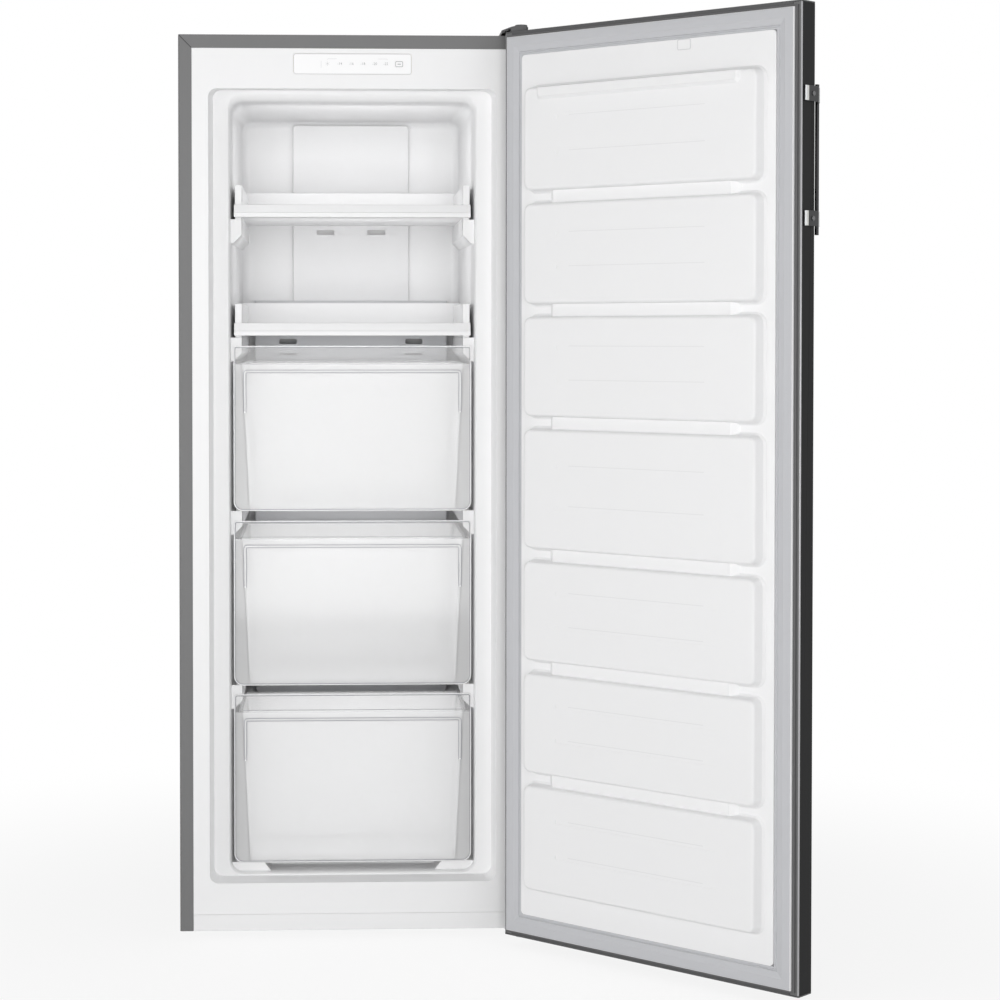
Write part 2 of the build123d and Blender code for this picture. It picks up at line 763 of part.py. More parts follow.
def fan_ring():
    """Ring round the fan with three legs to the back wall."""
    y0 = lower_cover_face + cover_wall + 1
    ring = rod_y(0, y0, y0 + fan_ring_depth, fan_z, fan_ring_radius)
    ring -= rod_y(0, y0 - 1, y0 + fan_ring_depth + 1, fan_z, fan_ring_radius - fan_ring_wall)
    for angle in (30, 150, 270):
        x = (fan_ring_radius - 1) * math.cos(math.radians(angle))
        z = fan_z + (fan_ring_radius - 1) * math.sin(math.radians(angle))
        ring += block(x - 2.5, x + 2.5, y0 + 2, cavity_back, z - 2.5, z + 2.5)
    return ring


def fan_motor():
    """Can motor on the back wall with its shaft."""
    y0 = cavity_back - fan_motor_depth
    can = rod_y(0, y0, cavity_back, fan_z, fan_motor_radius)
    can = chamfer(can.faces().sort_by(Axis.Y)[0].edges(), 2.0)
    return can + rod_y(0, y0 - fan_hub_depth + 1, y0 + 1, fan_z, fan_shaft_radius)


def fan_blade():
    """Axial fan: round hub and pitched blades."""
    y1 = cavity_back - fan_motor_depth - 0.4
    y0 = y1 - fan_hub_depth
    fan = rod_y(0, y0, y1, fan_z, fan_hub_radius)
    tip = fan_ring_radius - fan_ring_wall - fan_tip_gap
    for i in range(fan_blades):
        blade = Pos((fan_hub_radius + tip) / 2 - 1, (y0 + y1) / 2, fan_z) * Rot(38, 0, 0)
        blade = blade * Box(tip - fan_hub_radius + 2, 1.6, 17.0)
        fan += blade.rotate(Axis((0, 0, fan_z), (0, 1, 0)), 360.0 * i / fan_blades)
    fan &= rod_y(0, y0 - 1, y1, fan_z, tip)
    return fan - rod_y(0, y0 + 1, y1 + 1, fan_z, fan_shaft_radius + running_gap)


# ------------------------------------------------------------------ shelves and drawers
def tray(rail_top):
    """White tray shelf: floor on two runners, hollow side walls, rear wall and front trim."""
    seat = rail_top + drawer_seat_gap
    floor_low = seat + tray_runner
    side_top = floor_low + tray_side_height
    shelf = block(-tray_half, tray_half, tray_front + 2, tray_rear, floor_low, floor_low + tray_floor_thickness)
    runner = block(tray_half - tray_runner_width, tray_half, rail_front + 2, tray_rear, seat, floor_low + 1)
    shelf += mirrored(runner)
    x1 = tray_half
    x0 = tray_half - tray_side_width
    section = [(x0, floor_low + 1), (x0, side_top), (x1, side_top), (x1, floor_low + 1),
               (x1 - tray_wall, floor_low + 1), (x1 - tray_wall, side_top - tray_wall),
               (x0 + tray_wall, side_top - tray_wall), (x0 + tray_wall, floor_low + 1)]
    wall = along_y(section, rail_front, tray_rear)
    wall += block(x0, x1, rail_front - 4, rail_front, floor_low + 1, side_top)
    shelf += mirrored(wall)
    back = block(-x0 - 1, x0 + 1, tray_rear - tray_wall, tray_rear, floor_low + 1, floor_low + tray_back_height)
    back += mirrored(block(x0, x1, tray_rear - tray_wall, tray_rear, side_top - 1, floor_low + tray_back_height))
    shelf += back
    lip = floor_low + tray_trim_lip
    high = floor_low + tray_trim_height
    trim = [(tray_front, floor_low), (tray_front, lip - 1), (tray_front + 1.2, lip), (tray_front + 3.4, high),
            (tray_front + 6.0, high), (tray_front + 6.0, floor_low)]
    shelf += along_x(trim, -tray_half - 1.5, tray_half + 1.5)
    return shelf


def drawer(seat, front_height, rear):
    """Clear one-piece drawer: front with a grip frame, sloping box, runners, rim and floor pads."""
    low = seat + drawer_seat_gap
    high = low + front_height
    rim = high - drawer_rim_drop
    y0 = drawer_front
    y1 = y0 + drawer_wall
    front = facing_slab(-drawer_half, drawer_half, low, high, y0, y1, drawer_corner)
    shoulder = drawer_corner + 3
    front += facing_slab(-drawer_half, drawer_half, high - 2 * shoulder, high, y0, y1, 4.0)
    grip_top = high - drawer_grip_drop
    grip = facing_slab(-drawer_grip_half, drawer_grip_half, grip_top - drawer_grip_leg, grip_top,
                       y0 - drawer_grip_proud, y0, 6.0)
    grip -= facing_slab(-drawer_grip_half + drawer_grip_width, drawer_grip_half - drawer_grip_width,
                        grip_top - drawer_grip_leg - 20, grip_top - drawer_grip_width,
                        y0 - drawer_grip_proud - 1, y0 + 1, 3.0)
    front += grip

    t = drawer_wall
    outer = [(-drawer_floor_half, low), (drawer_floor_half, low), (drawer_top_half, rim), (-drawer_top_half, rim)]
    box = along_y(outer, y1 - 0.4, rear)
    corners = [e for e in box.edges().filter_by(Axis.Y) if e.center().Z < low + 1]
    box = fillet(corners, drawer_floor_round)
    inner = [(-drawer_floor_half + t, low + t), (drawer_floor_half - t, low + t),
             (drawer_top_half - t, rim + 1), (-drawer_top_half + t, rim + 1)]
    room = along_y(inner, y1, rear - t)
    corners = [e for e in room.edges().filter_by(Axis.Y) if e.center().Z < low + t + 1]
    corners += [e for e in room.edges() if e.center().Y > rear - t - 1 and abs(e.center().X) > drawer_floor_half - 20
                and e.bounding_box().size.Z > 100]
    room = fillet(corners, drawer_floor_round - t)
    rim_half = drawer_top_half + drawer_rim_width
    box += block(-rim_half, rim_half, y1 - 0.4, rear + drawer_rim_width, rim - drawer_rim_height, rim)
    runner = block(drawer_floor_half - 12, drawer_runner_half, rail_front + 1, rear, low, low + t)
    box += mirrored(runner)
    box -= room
    box -= block(-drawer_top_half + t, drawer_top_half - t, y1, rear - t, rim - 4, rim + 2)
    for i in range(drawer_pads):
        x = (i - (drawer_pads - 1) / 2) * drawer_floor_half * 0.46
        box += block(x - drawer_pad_width / 2, x + drawer_pad_width / 2, y1 + 8, y1 + 8 + drawer_pad_length,
                     low + t - 0.5, low + t + drawer_pad_height)
    return front + box


# ------------------------------------------------------------------ door, closed
def door_plan(inset):
    """Plan outline of the door, drawn in from its outside by inset."""
    width = cabinet_width - 2 * inset
    depth = door_thickness - 2 * inset
    radius = max(door_bend - inset, 0.4)
    return Pos(0, (door_inner + door_outer) / 2, 0) * RectangleRounded(width, depth, radius)


def door_outer_shell():
    """Steel wrap of the door: front, two edges and inner flanges."""
    z0 = door_bottom + door_cap_wall
    z1 = door_top - door_cap_wall
    shell = extrude(Pos(0, 0, z0) * door_plan(0), amount=z1 - z0)
    shell -= extrude(Pos(0, 0, z0 - 1) * door_plan(sheet), amount=z1 - z0 + 2)
    gap = half - door_flange - sheet
    shell -= block(-gap, gap, door_inner - 2 * sheet, door_inner + 1, 0, casing_top)
    for z in bracket_zs:
        shell -= rod_x(-half - 1, -half + 2, -handle_screw_depth, z, handle_screw_shank + 0.05)
    return shell


def door_cap(plate_low, plate_high, skirt_low, skirt_high):
    """End cap of the door: plate, skirt inside the wrap and inner flange."""
    cap = extrude(Pos(0, 0, plate_low) * door_plan(0), amount=plate_high - plate_low)
    skirt = extrude(Pos(0, 0, skirt_low) * door_plan(sheet + 0.1), amount=skirt_high - skirt_low)
    skirt -= extrude(Pos(0, 0, skirt_low - 1) * door_plan(sheet + 2.1), amount=skirt_high - skirt_low + 2)
    wide = half - door_flange - sheet - panel_gap
    skirt -= block(-half, half, door_inner - 3.5, door_inner + 1, skirt_low - 1, skirt_high + 1)
    lip = block(-wide, wide, door_inner - liner_wall, door_inner, skirt_low, skirt_high)
    cap += skirt + lip
    boss = post(pin_x, pin_y, skirt_low, skirt_high, hinge_bush_radius + 2.5)
    boss &= extrude(Pos(0, 0, skirt_low) * door_plan(sheet + 0.1), amount=skirt_high - skirt_low)
    cap += boss
    return cap - post(pin_x, pin_y, plate_low - 20, plate_high + 20, hinge_bush_radius)


def door_top_cap():
    """Upper end cap of the door."""
    plate = door_top - door_cap_wall
    return door_cap(plate, door_top, plate - door_cap_skirt, plate)


def door_bottom_cap():
    """Lower end cap of the door."""
    plate = door_bottom + door_cap_wall
    return door_cap(door_bottom, plate, plate, plate + door_cap_skirt)


def door_block_spans():
    """Low and high edge of each raised block at its foot, from the top down."""
    spans = []
    top = door_top - door_blocks_margin_top
    for share in door_block_shares:
        height = share * block_unit
        spans.append((top - height, top))
        top -= height + door_block_gap
    return spans


def raised_block(z0, z1, grow):
    """One raised block of the inner panel: skirt, drafted wall and a rounded edge in steps.

    Towards the foam, where grow is the skin's thickness, corners and edge are single bevels.
    """
    lean = math.tan(math.radians(door_block_draft))
    base = door_base - grow
    face = block_face - grow
    edge = door_block_round
    top_inset = lean * (door_block_height - door_block_skirt - edge)
    turns = (0.0, 30.0, 60.0, 90.0) if grow == 0 else (0.0, 90.0)
    levels = [(-door_block_skirt, base - 1.0), (-door_block_skirt, base), (0.0, base + door_block_skirt)]
    for turn in turns:
        angle = math.radians(turn)
        levels.append((top_inset + edge * (1 - math.cos(angle)), face - edge + edge * math.sin(angle)))
    sections = []
    for inset, y in levels:
        a = inset + grow
        radius = max(door_block_corner - inset, 4.0) * (1.0 if grow == 0 else 0.7)
        sections.append((-door_block_half + a, door_block_half - a, z0 + a, z1 - a, y, radius))
    steps = 4 if grow == 0 else 1
    return loft([stepped_sheet(*section, steps) for section in sections], ruled=True)


def edge_pad(z1, grow):
    """Low pad along the upper edge of the top block, sloping down at its ends and lower side."""
    lean = math.tan(math.radians(door_block_draft))
    crest = z1 - lean * (door_block_height - door_block_skirt) - 0.5
    top = crest - grow
    foot = door_pad_half + door_pad_slope / 2 - grow
    face = block_face + door_pad_height - grow
    low = crest - door_pad_drop - door_pad_slope / 2 + grow
    y0 = block_face - grow - 1.0
    slope = door_pad_slope * 1.2
    lower = facing_sheet(-foot, foot, low, top + 4.0, y0, 7.0)
    upper = facing_sheet(-foot + slope, foot - slope, low + slope, top + 4.0 - slope * 0.3, face, 4.0)
    pad = loft([lower, upper], ruled=True)
    return pad & block(-half, half, y0 - 1, face + 1, low - 1, top - 0.6)


def door_relief(grow):
    """Raised side of the door's inner panel: base, blocks, bars between them and the pad on the top one."""
    inset = door_base_inset + grow
    wide = half - inset
    base = facing_slab(-wide, wide, door_bottom + inset, door_top - inset, door_inner - liner_wall,
                       door_base - grow, 6.0)
    spans = door_block_spans()
    relief = base
    for z0, z1 in spans:
        relief += raised_block(z0, z1, grow)
    bar_face = door_base + door_bar_height - grow
    long = door_bar_half - grow
    foot = long + door_bar_slope
    bar = [(-foot, door_base - 1), (-long, bar_face), (long, bar_face), (foot, door_base - 1)]
    for (z_low, _), (_, z_next) in zip(spans[:-1], spans[1:]):
        relief += along_z(bar, z_next - 8, z_low + 8)
    return relief + edge_pad(spans[0][1], grow)


def door_liner():
    """Moulded inner panel of the door."""
    side = half - door_flange - sheet - panel_gap
    low = door_bottom + door_cap_wall + door_cap_skirt + panel_gap
    high = door_top - door_cap_wall - door_cap_skirt - panel_gap
    skin = block(-side, side, door_inner - liner_wall, door_inner, low, high)
    skin += door_relief(0)
    skin -= door_relief(liner_wall)
    for z0, z1 in door_block_spans():
        for share in door_groove_shares:
            z = z1 - share * (z1 - z0)
            r = door_groove_width / 2
            skin -= block(-door_groove_half, door_groove_half, block_face - door_groove_depth,
                          block_face + 1, z - r, z + r)
    wide = sensor_pad_width / 2
    tall = sensor_pad_height / 2
    skin += facing_slab(sensor_pad_x - wide, sensor_pad_x + wide, sensor_pad_z - tall, sensor_pad_z + tall,
                        door_base - 0.5, door_base + sensor_pad_proud, 2.5)
    return skin


def door_foam():
    """Rigid foam of the door, with the magnet's pocket."""
    low = door_bottom + door_cap_wall + door_cap_skirt + panel_gap
    high = door_top - door_cap_wall - door_cap_skirt - panel_gap
    foam = extrude(Pos(0, 0, low) * door_plan(sheet + running_gap), amount=high - low)
    foam -= block(-half, half, door_inner - liner_wall, door_inner + 1, low - 1, high + 1)
    foam += door_relief(liner_wall) & block(-half, half, door_inner - liner_wall - 2, 60, low, high)
    wide = sensor_pad_width / 2
    foam -= block(sensor_pad_x - wide, sensor_pad_x + wide, door_base - liner_wall - 8, door_base,
                  sensor_pad_z - 7, sensor_pad_z + 7)
    for z in (low, high):
        foam -= post(pin_x, pin_y, z - 12, z + 12, hinge_bush_radius + 0.5)
    return foam


def door_magnet():
    """Magnet behind the small pad, read by the sensor on the control board."""
    wide = sensor_pad_width / 2 - 1
    return block(sensor_pad_x - wide, sensor_pad_x + wide, door_base - liner_wall - 7, door_base - liner_wall,
                 sensor_pad_z - 6, sensor_pad_z + 6)


def gasket_section():
    """Gasket section as (distance in from the outer edge, depth) points."""
    fold = 3.4
    m = fold + 0.9 + gasket_magnet_width
    g = m + 9.4
    w = gasket_width
    base = door_inner
    face = gasket_face
    return [(0, base), (0, base + 3.1), (1.8, base + 3.5), (1.8, base + 4.4), (fold, base + 4.7),
            (fold, face - 1.2), (fold + 0.9, face), (m - 0.8, face), (m + 0.8, face - 0.7), (g - 1.0, face - 2.2),
            (g, face - 4.4), (g + gasket_groove_width, face - 4.4), (g + gasket_groove_width + 0.8, face - 3.2),
            (w, face - 3.4), (w, base)]


def door_gasket():
    """Magnetic gasket, four mitred lengths welded at the corners."""
    edge = half - gasket_inset
    z0 = door_bottom + gasket_inset
    z1 = door_top - gasket_inset
    w = gasket_width + 1
    depth = (door_inner - 1, 1.0)
    section = gasket_section()
    left = along_z([(-edge + a, y) for a, y in section], z0, z1)
    left &= along_y([(-edge, z0), (-edge, z1), (-edge + w, z1 - w), (-edge + w, z0 + w)], *depth)
    bottom = along_x([(y, z0 + a) for a, y in section], -edge, edge)
    bottom &= along_y([(-edge, z0), (edge, z0), (edge - w, z0 + w), (-edge + w, z0 + w)], *depth)
    top = along_x([(y, z1 - a) for a, y in section], -edge, edge)
    top &= along_y([(-edge, z1), (edge, z1), (edge - w, z1 - w), (-edge + w, z1 - w)], *depth)
    return left + bottom + top + mirror(left, about=Plane.YZ)


def handle_bar():
    """Slim upright bar of the handle."""
    x1 = -half + handle_bar_inset + handle_bar_width
    y0 = door_outer - handle_stand_off
    bar = block(x1 - handle_bar_width, x1, y0 - handle_bar_depth, y0, handle_bottom, handle_top)
    return fillet(bar.edges().filter_by(Axis.Z), 0.8)


def handle_bracket(z):
    """Bent bracket: flat on the door's free edge, then out and round to the bar."""
    seat = -half
    far = seat - bracket_plate
    bar_side = -half + handle_bar_inset
    bend = door_outer - 2.0
    end = door_outer - handle_stand_off
    points = [(seat, -bracket_plate_start), (seat, bend), (bar_side, end - 0.5), (bar_side, end - 5.0),
              (bar_side - 1.6, end - 4.4), (far, bend - 3.0), (far, -bracket_plate_start)]
    form = along_z(points, z - bracket_height / 2, z + bracket_height / 2)
    return form - rod_x(far - 1, seat + 1, -handle_screw_depth, z, handle_screw_shank + 0.05)


def handle_screws():
    """One round-headed screw through each bracket."""
    screws = []
    for z in bracket_zs:
        far = -half - bracket_plate
        head = rod_x(far - 1.8, far, -handle_screw_depth, z, handle_screw_head)
        head = chamfer(head.faces().sort_by(Axis.X)[0].edges(), 0.8)
        screws.append(head + rod_x(far, -half + sheet, -handle_screw_depth, z, handle_screw_shank))
    return screws


# ------------------------------------------------------------------ hinges
def hinge_screw_places():
    """Screw positions shared by the top and bottom hinge plates."""
    return [(half - 26.0, 30.0), (half - 26.0, 52.0), (half - 9.0, 52.0)]


def hinge_plate_form(low, rise):
    """Hinge plate that lies on the cabinet and steps up by rise to the arm that carries the pin."""
    x1 = half
    x0 = x1 - hinge_plate_width
    nose = pin_y - hinge_plate_overhang
    points = [(x0, hinge_plate_reach), (x0, 20.0), (x0 + 5.0, 2.0), (pin_x - 9.0, nose + 3.0), (pin_x - 6.0, nose),
              (pin_x + 6.0, nose), (x1, nose + 5.0), (x1, hinge_plate_reach)]
    high = low + hinge_plate
    side = [(hinge_plate_reach + 1, low), (hinge_plate_reach + 1, high), (1.0, high), (-3.0, high + rise),
            (nose - 1, high + rise), (nose - 1, low + rise), (-4.0, low + rise), (0.0, low)]
    plate = along_x(side, x0 - 1, x1 + 1) & along_z(points, low - 1, high + rise + 1)
    for x, y in hinge_screw_places():
        plate -= post(x, y, low - 1, high + 1, hinge_screw_shank + 0.05)
    return plate - post(pin_x, pin_y, low - 1, high + rise + 1, hinge_pin_radius)


def top_hinge_bracket():
    """Upper hinge plate on the casing's top, its arm raised over the door."""
    return hinge_plate_form(casing_top, hinge_arm_rise)


def bottom_hinge_bracket():
    """Lower hinge plate under the base plate."""
    return hinge_plate_form(floor_gap - hinge_plate, 0.0)


def top_hinge_pin():
    """Headed pin that hangs into the door's upper bush."""
    top = casing_top + hinge_arm_rise + hinge_plate
    pin = post(pin_x, pin_y, door_top - hinge_pin_length, top, hinge_pin_radius)
    return pin + post(pin_x, pin_y, top, top + 2.5, hinge_pin_radius + 2.0)


def bottom_hinge_pin():
    """Headed pin that carries the door's lower bush."""
    low = floor_gap - hinge_plate
    pin = post(pin_x, pin_y, low, door_bottom + hinge_pin_length, hinge_pin_radius)
    return pin + post(pin_x, pin_y, low - 2.5, low, hinge_pin_radius + 2.0)


def door_hinge_bushes():
    """Flanged bushes in the door's end caps, turning on the pins."""
    bushes = []
    bore = hinge_pin_radius + running_gap
    reach = door_cap_wall + door_cap_skirt + 8
    upper = post(pin_x, pin_y, door_top - reach, door_top, hinge_bush_radius)
    crown = casing_top + hinge_arm_rise - hinge_bush_gap
    upper += post(pin_x, pin_y, door_top, crown, hinge_bush_flange)
    bushes.append(upper - post(pin_x, pin_y, door_top - hinge_pin_length - 1, crown + 1, bore))
    lower = post(pin_x, pin_y, door_bottom, door_bottom + reach, hinge_bush_radius)
    lower += post(pin_x, pin_y, floor_gap + hinge_bush_gap, door_bottom, hinge_bush_flange)
    bushes.append(lower - post(pin_x, pin_y, floor_gap - 1, door_bottom + hinge_pin_length + 1, bore))
    return bushes


def hinge_screws():
    """Hexagon screws of both hinges."""
    screws = []
    for x, y in hinge_screw_places():
        top = casing_top + hinge_plate
        head = extrude(Pos(x, y, top) * RegularPolygon(hinge_screw_head, 6), amount=3.0)
        screws.append(head + post(x, y, casing_top - sheet, top, hinge_screw_shank))
        low = floor_gap - hinge_plate
        head = extrude(Pos(x, y, low - 3.0) * RegularPolygon(hinge_screw_head, 6), amount=3.0)
        screws.append(head + post(x, y, low, base_top, hinge_screw_shank))
    return screws


def top_hinge_cap():
    """Hollow cover over the upper hinge: a ramp on its inner side and a barrel over the pin."""
    x1 = half
    x0 = half - hinge_plate_width - hinge_cap_wall - 3.0
    z0 = casing_top
    high = casing_top + hinge_cap_height
    y0 = pin_y - hinge_plate_overhang - hinge_cap_wall - 1.4
    y1 = hinge_plate_reach + hinge_cap_wall + 1.0
    ramp = [(x0, z0), (x0, z0 + hinge_cap_end), (x0 + hinge_cap_ramp, high), (x1 - 3.0, high), (x1, high - 3.0), (x1, z0)]
    plan = [(x0, y1 - 6.0), (x0, y0 + 18.0), (x0 + 14.0, y0), (x1 - 4.0, y0), (x1, y0 + 4.0), (x1, y1 - 6.0),
            (x1 - 6.0, y1), (x0 + 6.0, y1)]
    form = along_y(ramp, y0, y1) & along_z(plan, z0, high)
    form += post(pin_x + 1.4, pin_y + 1.0, high - 1, high + 1.6, hinge_cap_barrel)
    t = hinge_cap_wall
    hollow = [(x0 + t, z0 - 1), (x0 + t, z0 + hinge_cap_end - 0.9), (x0 + hinge_cap_ramp + 0.4, high - t),
              (x1 - 3.5, high - t), (x1 - t, high - 3.6), (x1 - t, z0 - 1)]
    inside = [(x0 + t, y1 - 7.0), (x0 + t, y0 + 18.6), (x0 + 14.6, y0 + t), (x1 - 4.8, y0 + t), (x1 - t, y0 + 4.8),
              (x1 - t, y1 - 6.6), (x1 - 6.6, y1 - t), (x0 + 6.6, y1 - t)]
    form -= along_y(hollow, y0, y1) & along_z(inside, z0 - 1, high)
    form -= block(half - hinge_plate_width - panel_gap, half + 1, y0 + t, y1 - t, z0 - 1, z0 + hinge_plate + panel_gap)
    form -= block(pin_x - 20, half + 1, y0 + t, 3.0, z0 - 1, z0 + hinge_arm_rise + hinge_plate + panel_gap)
    return form - block(x0 - 1, x1 + 1, y0 - 1, -2.0, z0 - 1, door_top + 2 * panel_gap)


# ------------------------------------------------------------------ feet and rollers
def levelling_foot(side):
    """Screwed foot: pad, neck and stud."""
    x = side * foot_x
    pad = post(x, foot_y, 0, foot_disc, foot_radius)
    pad = chamfer(pad.faces().sort_by(Axis.Z)[-1].edges(), 1.5)
    neck = extrude(Pos(x, foot_y, foot_disc) * RegularPolygon(foot_neck_radius, 6), amount=foot_neck_top - foot_disc)
    return pad + neck + post(x, foot_y, foot_disc, foot_stud_top, foot_stud_radius)


def foot_inserts():
    """Threaded bosses above the base plate that hold the feet."""
    inserts = []
    for side in (-1, 1):
        boss = post(side * foot_x, foot_y, base_top, insert_top, insert_radius)
        inserts.append(boss - post(side * foot_x, foot_y, 0, insert_top + 1, foot_stud_radius + running_gap))
    return inserts


def rear_roller(side):
    """Roller with a chamfered tread and a bored hub."""
    x = side * roller_x
    wheel = rod_x(x - roller_width / 2, x + roller_width / 2, roller_y, roller_radius, roller_radius)
    wheel = chamfer(wheel.edges().filter_by(GeomType.CIRCLE), 2.0)
    return wheel - rod_x(x - roller_width, x + roller_width, roller_y, roller_radius, roller_axle_radius + running_gap)


def roller_brackets():
    """Inverted channels on the base plate that hold the rollers."""
    brackets = []
    for side in (-1, 1):
        x = side * roller_x
        inner = roller_width / 2 + roller_side_gap
        outer = inner + roller_ear
        top = 2 * roller_radius + 3.0
        y0 = roller_y - roller_radius - 3
        y1 = roller_y + roller_radius + 3
        form = block(x - outer, x + outer, y0, y1, 6.0, top + roller_ear)
        form -= block(x - inner, x + inner, y0 - 1, y1 + 1, 0, top)
        form -= along_x([(y0 - 1, 0), (y0 - 1, base_top), (roller_y - 9, 5.5), (roller_y - 9, 0)], x - 30, x + 30)
        form -= along_x([(y1 + 1, 0), (y1 + 1, base_top), (roller_y + 9, 5.5), (roller_y + 9, 0)], x - 30, x + 30)
        wing = outer + roller_bracket_flange
        form += block(x - wing, x - inner, y0, y1, base_top, base_top + roller_ear)
        form += block(x + inner, x + wing, y0, y1, base_top, base_top + roller_ear)
        form -= rod_x(x - wing - 1, x - outer, roller_y, roller_radius, axle_head_radius + 0.5)
        brackets.append(form - rod_x(x - 40, x + 40, roller_y, roller_radius, roller_axle_radius))
    return brackets


def roller_axles():
    """Headed axles through the brackets."""
    axles = []
    for side in (-1, 1):
        x = side * roller_x
        reach = roller_width / 2 + roller_side_gap + roller_ear
        axle = rod_x(x - reach, x + reach + 1, roller_y, roller_radius, roller_axle_radius)
        axle += rod_x(x - reach - axle_head, x - reach, roller_y, roller_radius, axle_head_radius)
        axles.append(axle)
    return axles


# ------------------------------------------------------------------ compressor bay
def compressor():
    """Welded pot: straight wall, seam, lid that steps in and mounting plate."""
    r = compressor_radius
    low = compressor_base
    top = compressor_top
    seam = low + compressor_height * 0.55
    lid = 30.0
    outline = [(0, low), (r - 8, low), (r, low + 8), (r, seam - 2), (r + 2.5, seam - 2), (r + 2.5, seam + 2),
               (r - 1, seam + 2), (r - 1, top - lid), (r - 6, top - lid * 0.45), (r - 18, top - lid * 0.12),
               (r - 33, top), (0, top)]
    with BuildSketch(Plane.XZ) as profile:
        with BuildLine():
            Polyline(*outline, close=True)
        make_face()
    pot = Pos(compressor_x, compressor_y, 0) * revolve(profile.sketch, axis=Axis.Z)
    plate = block(compressor_x - mount_half_x - 13, compressor_x + mount_half_x + 13,
                  compressor_y - mount_half_y - 12, compressor_y + mount_half_y + 12, low - compressor_plate, low)
    plate = chamfer(plate.edges().filter_by(Axis.Z), 9.0)
    for x, y in mount_places():
        plate -= post(x, y, low - 5, low + 5, 5.0)
    return pot + plate


def mount_places():
    """Centres of the compressor's four rubber mounts."""
    return [(compressor_x + sx * mount_half_x, compressor_y + sy * mount_half_y) for sx in (-1, 1) for sy in (-1, 1)]


def compressor_mounts():
    """Rubber bushes between base plate and mounting plate."""
    mounts = []
    for x, y in mount_places():
        low = base_top
        high = base_top + mount_height
        bush = Pos(x, y, (low + high) / 2) * Cone(mount_radius, mount_radius - 2.5, high - low)
        bush += post(x, y, high - 1, high + compressor_plate + 2, 4.9)
        mounts.append(bush)
    return mounts


def terminal_box():
    """Cover of the start relay on the side of the pot."""
    x0 = compressor_x + compressor_radius - 3
    y0 = compressor_y - 24
    z0 = compressor_base + 20
    box = block(x0, x0 + 34, y0, y0 + 48, z0, z0 + 44)
    box = chamfer(box.faces().sort_by(Axis.X)[-1].edges(), 4.0)
    pot = post(compressor_x, compressor_y, 0, compressor_top, compressor_radius + 0.05)
    return box - pot


def drip_tray():
    """Open tray on the warm lid that evaporates the melt water."""
    x = compressor_x + 12
    y = compressor_y - 4
    low = compressor_top
    outer = plan_slab(x - drip_tray_length / 2, x + drip_tray_length / 2, y - drip_tray_width / 2,
                      y + drip_tray_width / 2, low, low + drip_tray_height, 14)
    inner = plan_slab(x - drip_tray_length / 2 + tray_skin, x + drip_tray_length / 2 - tray_skin,
                      y - drip_tray_width / 2 + tray_skin, y + drip_tray_width / 2 - tray_skin,
                      low + tray_skin, low + drip_tray_height + 1, 12)
    return outer - inner


def refrigerant_pipes():
    """Suction and discharge pipes of the compressor, up to the bay's roof."""
    z = compressor_base + 40
    y = compressor_y
    r = compressor_radius
    start = compressor_x - r + 1
    suction = pipe([(start, y, z), (start - 30, y, z), (start - 30, y, bay_top)], 14, pipe_radius + 0.8)
    x = start - 52
    discharge = pipe([(start + 6, y - 26, z), (x, y - 26, z), (x, y - 26, bay_top)], 14, pipe_radius)
    pot = post(compressor_x, compressor_y, 0, compressor_top, r + 0.02)
    return [suction - pot, discharge - pot]


def filter_drier():
    """Copper drier with tapered ends on the bay's front wall."""
    r = drier_radius
    z0 = base_top + 74
    z1 = z0 + drier_length
    with BuildSketch(Plane.XZ) as profile:
        with BuildLine():
            Polyline((0, z0), (pipe_radius, z0), (pipe_radius, z0 + 6), (r, z0 + 16), (r, z1 - 16),
                     (pipe_radius, z1 - 6), (pipe_radius, bay_top), (0, bay_top), (0, z0))
        make_face()
    x = half - 96.0
    y = bay_front + r + 3.0
    body = Pos(x, y, 0) * revolve(profile.sketch, axis=Axis.Z)
    middle = (z0 + z1) / 2
    return body + block(x - 2, x + 2, bay_front, y, middle - 6, middle + 6)


def cord_gland():
    """Bush in the rear flange where a mains lead would leave."""
    y1 = cabinet_depth - sheet
    z = gland_z
    bush = rod_y(gland_x, y1, y1 + 4, z, gland_radius)
    bush += rod_y(gland_x, y1 - base_plate_thickness - 5, y1, z, gland_radius - 2)
    bush += rod_y(gland_x, y1 - base_plate_thickness - 5, y1 - base_plate_thickness - 2, z, gland_radius - 0.5)
    return bush - rod_y(gland_x, y1 - 20, y1 + 10, z, gland_bore)


# ------------------------------------------------------------------ assembly
def swing(form):
    """Turn a piece of the closed door to the open rest position."""
    return form.rotate(Axis((pin_x, pin_y, 0), (0, 0, 1)), door_open_angle)


